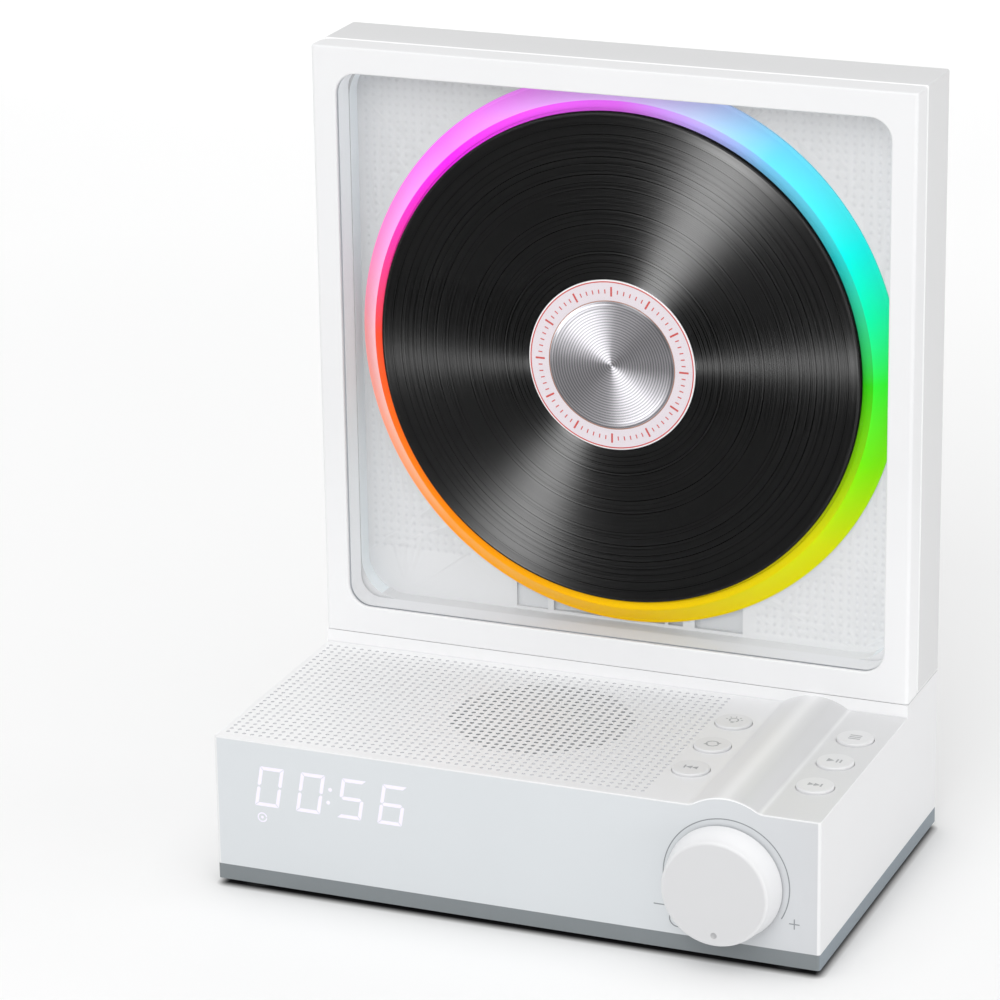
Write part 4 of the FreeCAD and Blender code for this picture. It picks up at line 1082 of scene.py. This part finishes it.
# ---- stage, light and camera --------------------------------------------------------------------------
def stage():
    mesh = bpy.data.meshes.new("floor")
    s = 6.0
    mesh.from_pydata([(-s, -s, 0), (s, -s, 0), (s, s, 0), (-s, s, 0)], [], [(0, 1, 2, 3)])
    floor = bpy.data.objects.new("floor", mesh)
    bpy.context.scene.collection.objects.link(floor)
    mat, nt, bsdf = fresh("floor_paper")
    co = coords(nt)
    n = noise(nt, co, 3.0, 2.0)
    bsdf.inputs["Roughness"].default_value = 0.9
    bsdf.inputs["Specular IOR Level"].default_value = 0.0
    # painted light: the paper glows brighter away from the footprint
    mid = nt.nodes.new("ShaderNodeVectorMath")
    mid.operation = "SUBTRACT"
    mid.inputs[1].default_value = (0.0, 0.0045, 0.0)
    nt.links.new(co, mid.inputs[0])
    size = nt.nodes.new("ShaderNodeVectorMath")
    size.operation = "ABSOLUTE"
    nt.links.new(mid.outputs["Vector"], size.inputs[0])
    over = nt.nodes.new("ShaderNodeVectorMath")
    over.operation = "SUBTRACT"
    over.inputs[1].default_value = (0.088, 0.0525, 1.0)
    nt.links.new(size.outputs["Vector"], over.inputs[0])
    out = nt.nodes.new("ShaderNodeVectorMath")
    out.operation = "MAXIMUM"
    out.inputs[1].default_value = (0.0, 0.0, 0.0)
    nt.links.new(over.outputs["Vector"], out.inputs[0])
    far = nt.nodes.new("ShaderNodeVectorMath")
    far.operation = "LENGTH"
    nt.links.new(out.outputs["Vector"], far.inputs[0])
    nt.links.new(spread(nt, far.outputs["Value"], 0.0, 0.1, 0.0, 0.6), bsdf.inputs["Emission Strength"])
    bsdf.inputs["Emission Color"].default_value = (1.0, 1.0, 1.0, 1.0)
    # painted contact shadow under the footprint
    under = nt.nodes.new("ShaderNodeMix")
    under.data_type = "RGBA"
    nt.links.new(spread(nt, far.outputs["Value"], 0.0, 1.0, 0.0, 0.0035), under.inputs[0])
    under.inputs[6].default_value = (0.03, 0.03, 0.032, 1.0)
    nt.links.new(two_tone(nt, n, (0.885, 0.885, 0.885), (0.895, 0.895, 0.895)), under.inputs[7])
    nt.links.new(under.outputs[2], bsdf.inputs["Base Color"])
    mesh.materials.append(mat)


stage()


def dark_card():
    mesh = bpy.data.meshes.new("dark_card")
    mesh.from_pydata([(-0.6, -0.46, 0.002), (0.4, -0.46, 0.002), (0.4, -0.33, 0.002), (-0.6, -0.33, 0.002)], [], [(0, 1, 2, 3)])
    card = bpy.data.objects.new("dark_card", mesh)
    bpy.context.scene.collection.objects.link(card)
    mat, nt, bsdf = fresh("card_black")
    n = noise(nt, coords(nt), 30.0, 2.0)
    nt.links.new(two_tone(nt, n, (0.010, 0.010, 0.010), (0.014, 0.014, 0.014)), bsdf.inputs["Base Color"])
    bsdf.inputs["Roughness"].default_value = 1.0
    bsdf.inputs["Specular IOR Level"].default_value = 0.0
    mesh.materials.append(mat)
    card.visible_camera = False
    card.visible_diffuse = False
    card.visible_shadow = False


dark_card()


def area(name, loc, aim, size, watts, color=(1.0, 1.0, 1.0)):
    d = bpy.data.lights.new(name, "AREA")
    d.shape = "RECTANGLE"
    d.size, d.size_y = size
    d.energy = watts
    d.color = color
    o = bpy.data.objects.new(name, d)
    o.location = loc
    o.rotation_euler = (Vector(aim) - Vector(loc)).to_track_quat("-Z", "Y").to_euler()
    bpy.context.scene.collection.objects.link(o)
    return o


scene = bpy.context.scene
world = bpy.data.worlds.new("studio")
scene.world = world
world.use_nodes = True
world.node_tree.nodes["Background"].inputs["Color"].default_value = (1.0, 1.0, 1.0, 1.0)
world.node_tree.nodes["Background"].inputs["Strength"].default_value = 0.62
aim = Vector((0.0, 0.037, 0.14))
area("key", aim + Vector((0.05, -0.75, 0.53)).normalized() * 2.0, aim, (1.0, 1.0), 12.2)
area("overhead", Vector((0.0, -0.2, 2.2)), aim, (2.6, 2.6), 18.0)
area("side_fill", aim + Vector((0.95, -0.2, 0.0)).normalized() * 1.3, aim, (0.9, 0.3), 2.6)
area("back_fill", aim + Vector((-0.35, 0.93, -0.02)).normalized() * 1.6, aim, (1.2, 0.25), 7.0)
key_dir = Vector((-0.06, -0.98, 0.19)).normalized()


def only_on(light, *pieces, clear=True):
    """A light flagged off from everything but the named pieces, as a studio flag does."""
    coll = bpy.data.collections.new(light.name + "_on")
    for n in pieces:
        coll.objects.link(bpy.data.objects[n])
    light.light_linking.receiver_collection = coll
    if clear:
        light.light_linking.blocker_collection = coll


# gloss lights for the turned discs: one along the diagonal, one low for the level streaks, one for the cap
only_on(area("gloss_diagonal", aim + key_dir * 3.2, aim, (0.64, 0.64), 1220.0), "record_face")
level = Vector((0.4094, -0.8827, -0.2305)).normalized()
only_on(area("gloss_level", aim + level * 2.5, aim, (0.1, 0.1), 255.0), "record_face")
side = Vector((-0.62, -0.78, -0.02)).normalized()
only_on(area("gloss_cap", aim + side * 1.6, aim, (0.95, 0.6), 44.0), "hub_face")

# fill that reaches into the compartment
inward = Vector((-0.45, -0.85, 0.22)).normalized()
only_on(area("well_fill", aim + inward * 1.5, aim, (1.0, 0.8), 3.2), "well_liner", "window_retainer", clear=False)

cam_data = bpy.data.cameras.new("camera")
cam = bpy.data.objects.new("camera", cam_data)
scene.collection.objects.link(cam)
az, el, roll = math.radians(22.278312), math.radians(19.343566), math.radians(-0.880034)
back = Vector((math.sin(az) * math.cos(el), -math.cos(az) * math.cos(el), math.sin(el)))
right = Vector((math.cos(az), math.sin(az), 0.0))
up = back.cross(right)
r2 = math.cos(roll) * right + math.sin(roll) * up
u2 = -math.sin(roll) * right + math.cos(roll) * up
loc = Vector((2.339512 * 0.18, -5.730540 * 0.18 - 0.050, 2.866595 * 0.18 + 0.002))
cam.matrix_world = Matrix(((r2.x, u2.x, back.x, loc.x), (r2.y, u2.y, back.y, loc.y), (r2.z, u2.z, back.z, loc.z), (0, 0, 0, 1)))
cam_data.sensor_fit = "HORIZONTAL"
cam_data.sensor_width = 36.0
cam_data.lens = 36.0 * 4389.8267 / 1000.0
cam_data.clip_start = 0.05
cam_data.clip_end = 50.0
scene.camera = cam
scene.view_settings.view_transform = "Standard"
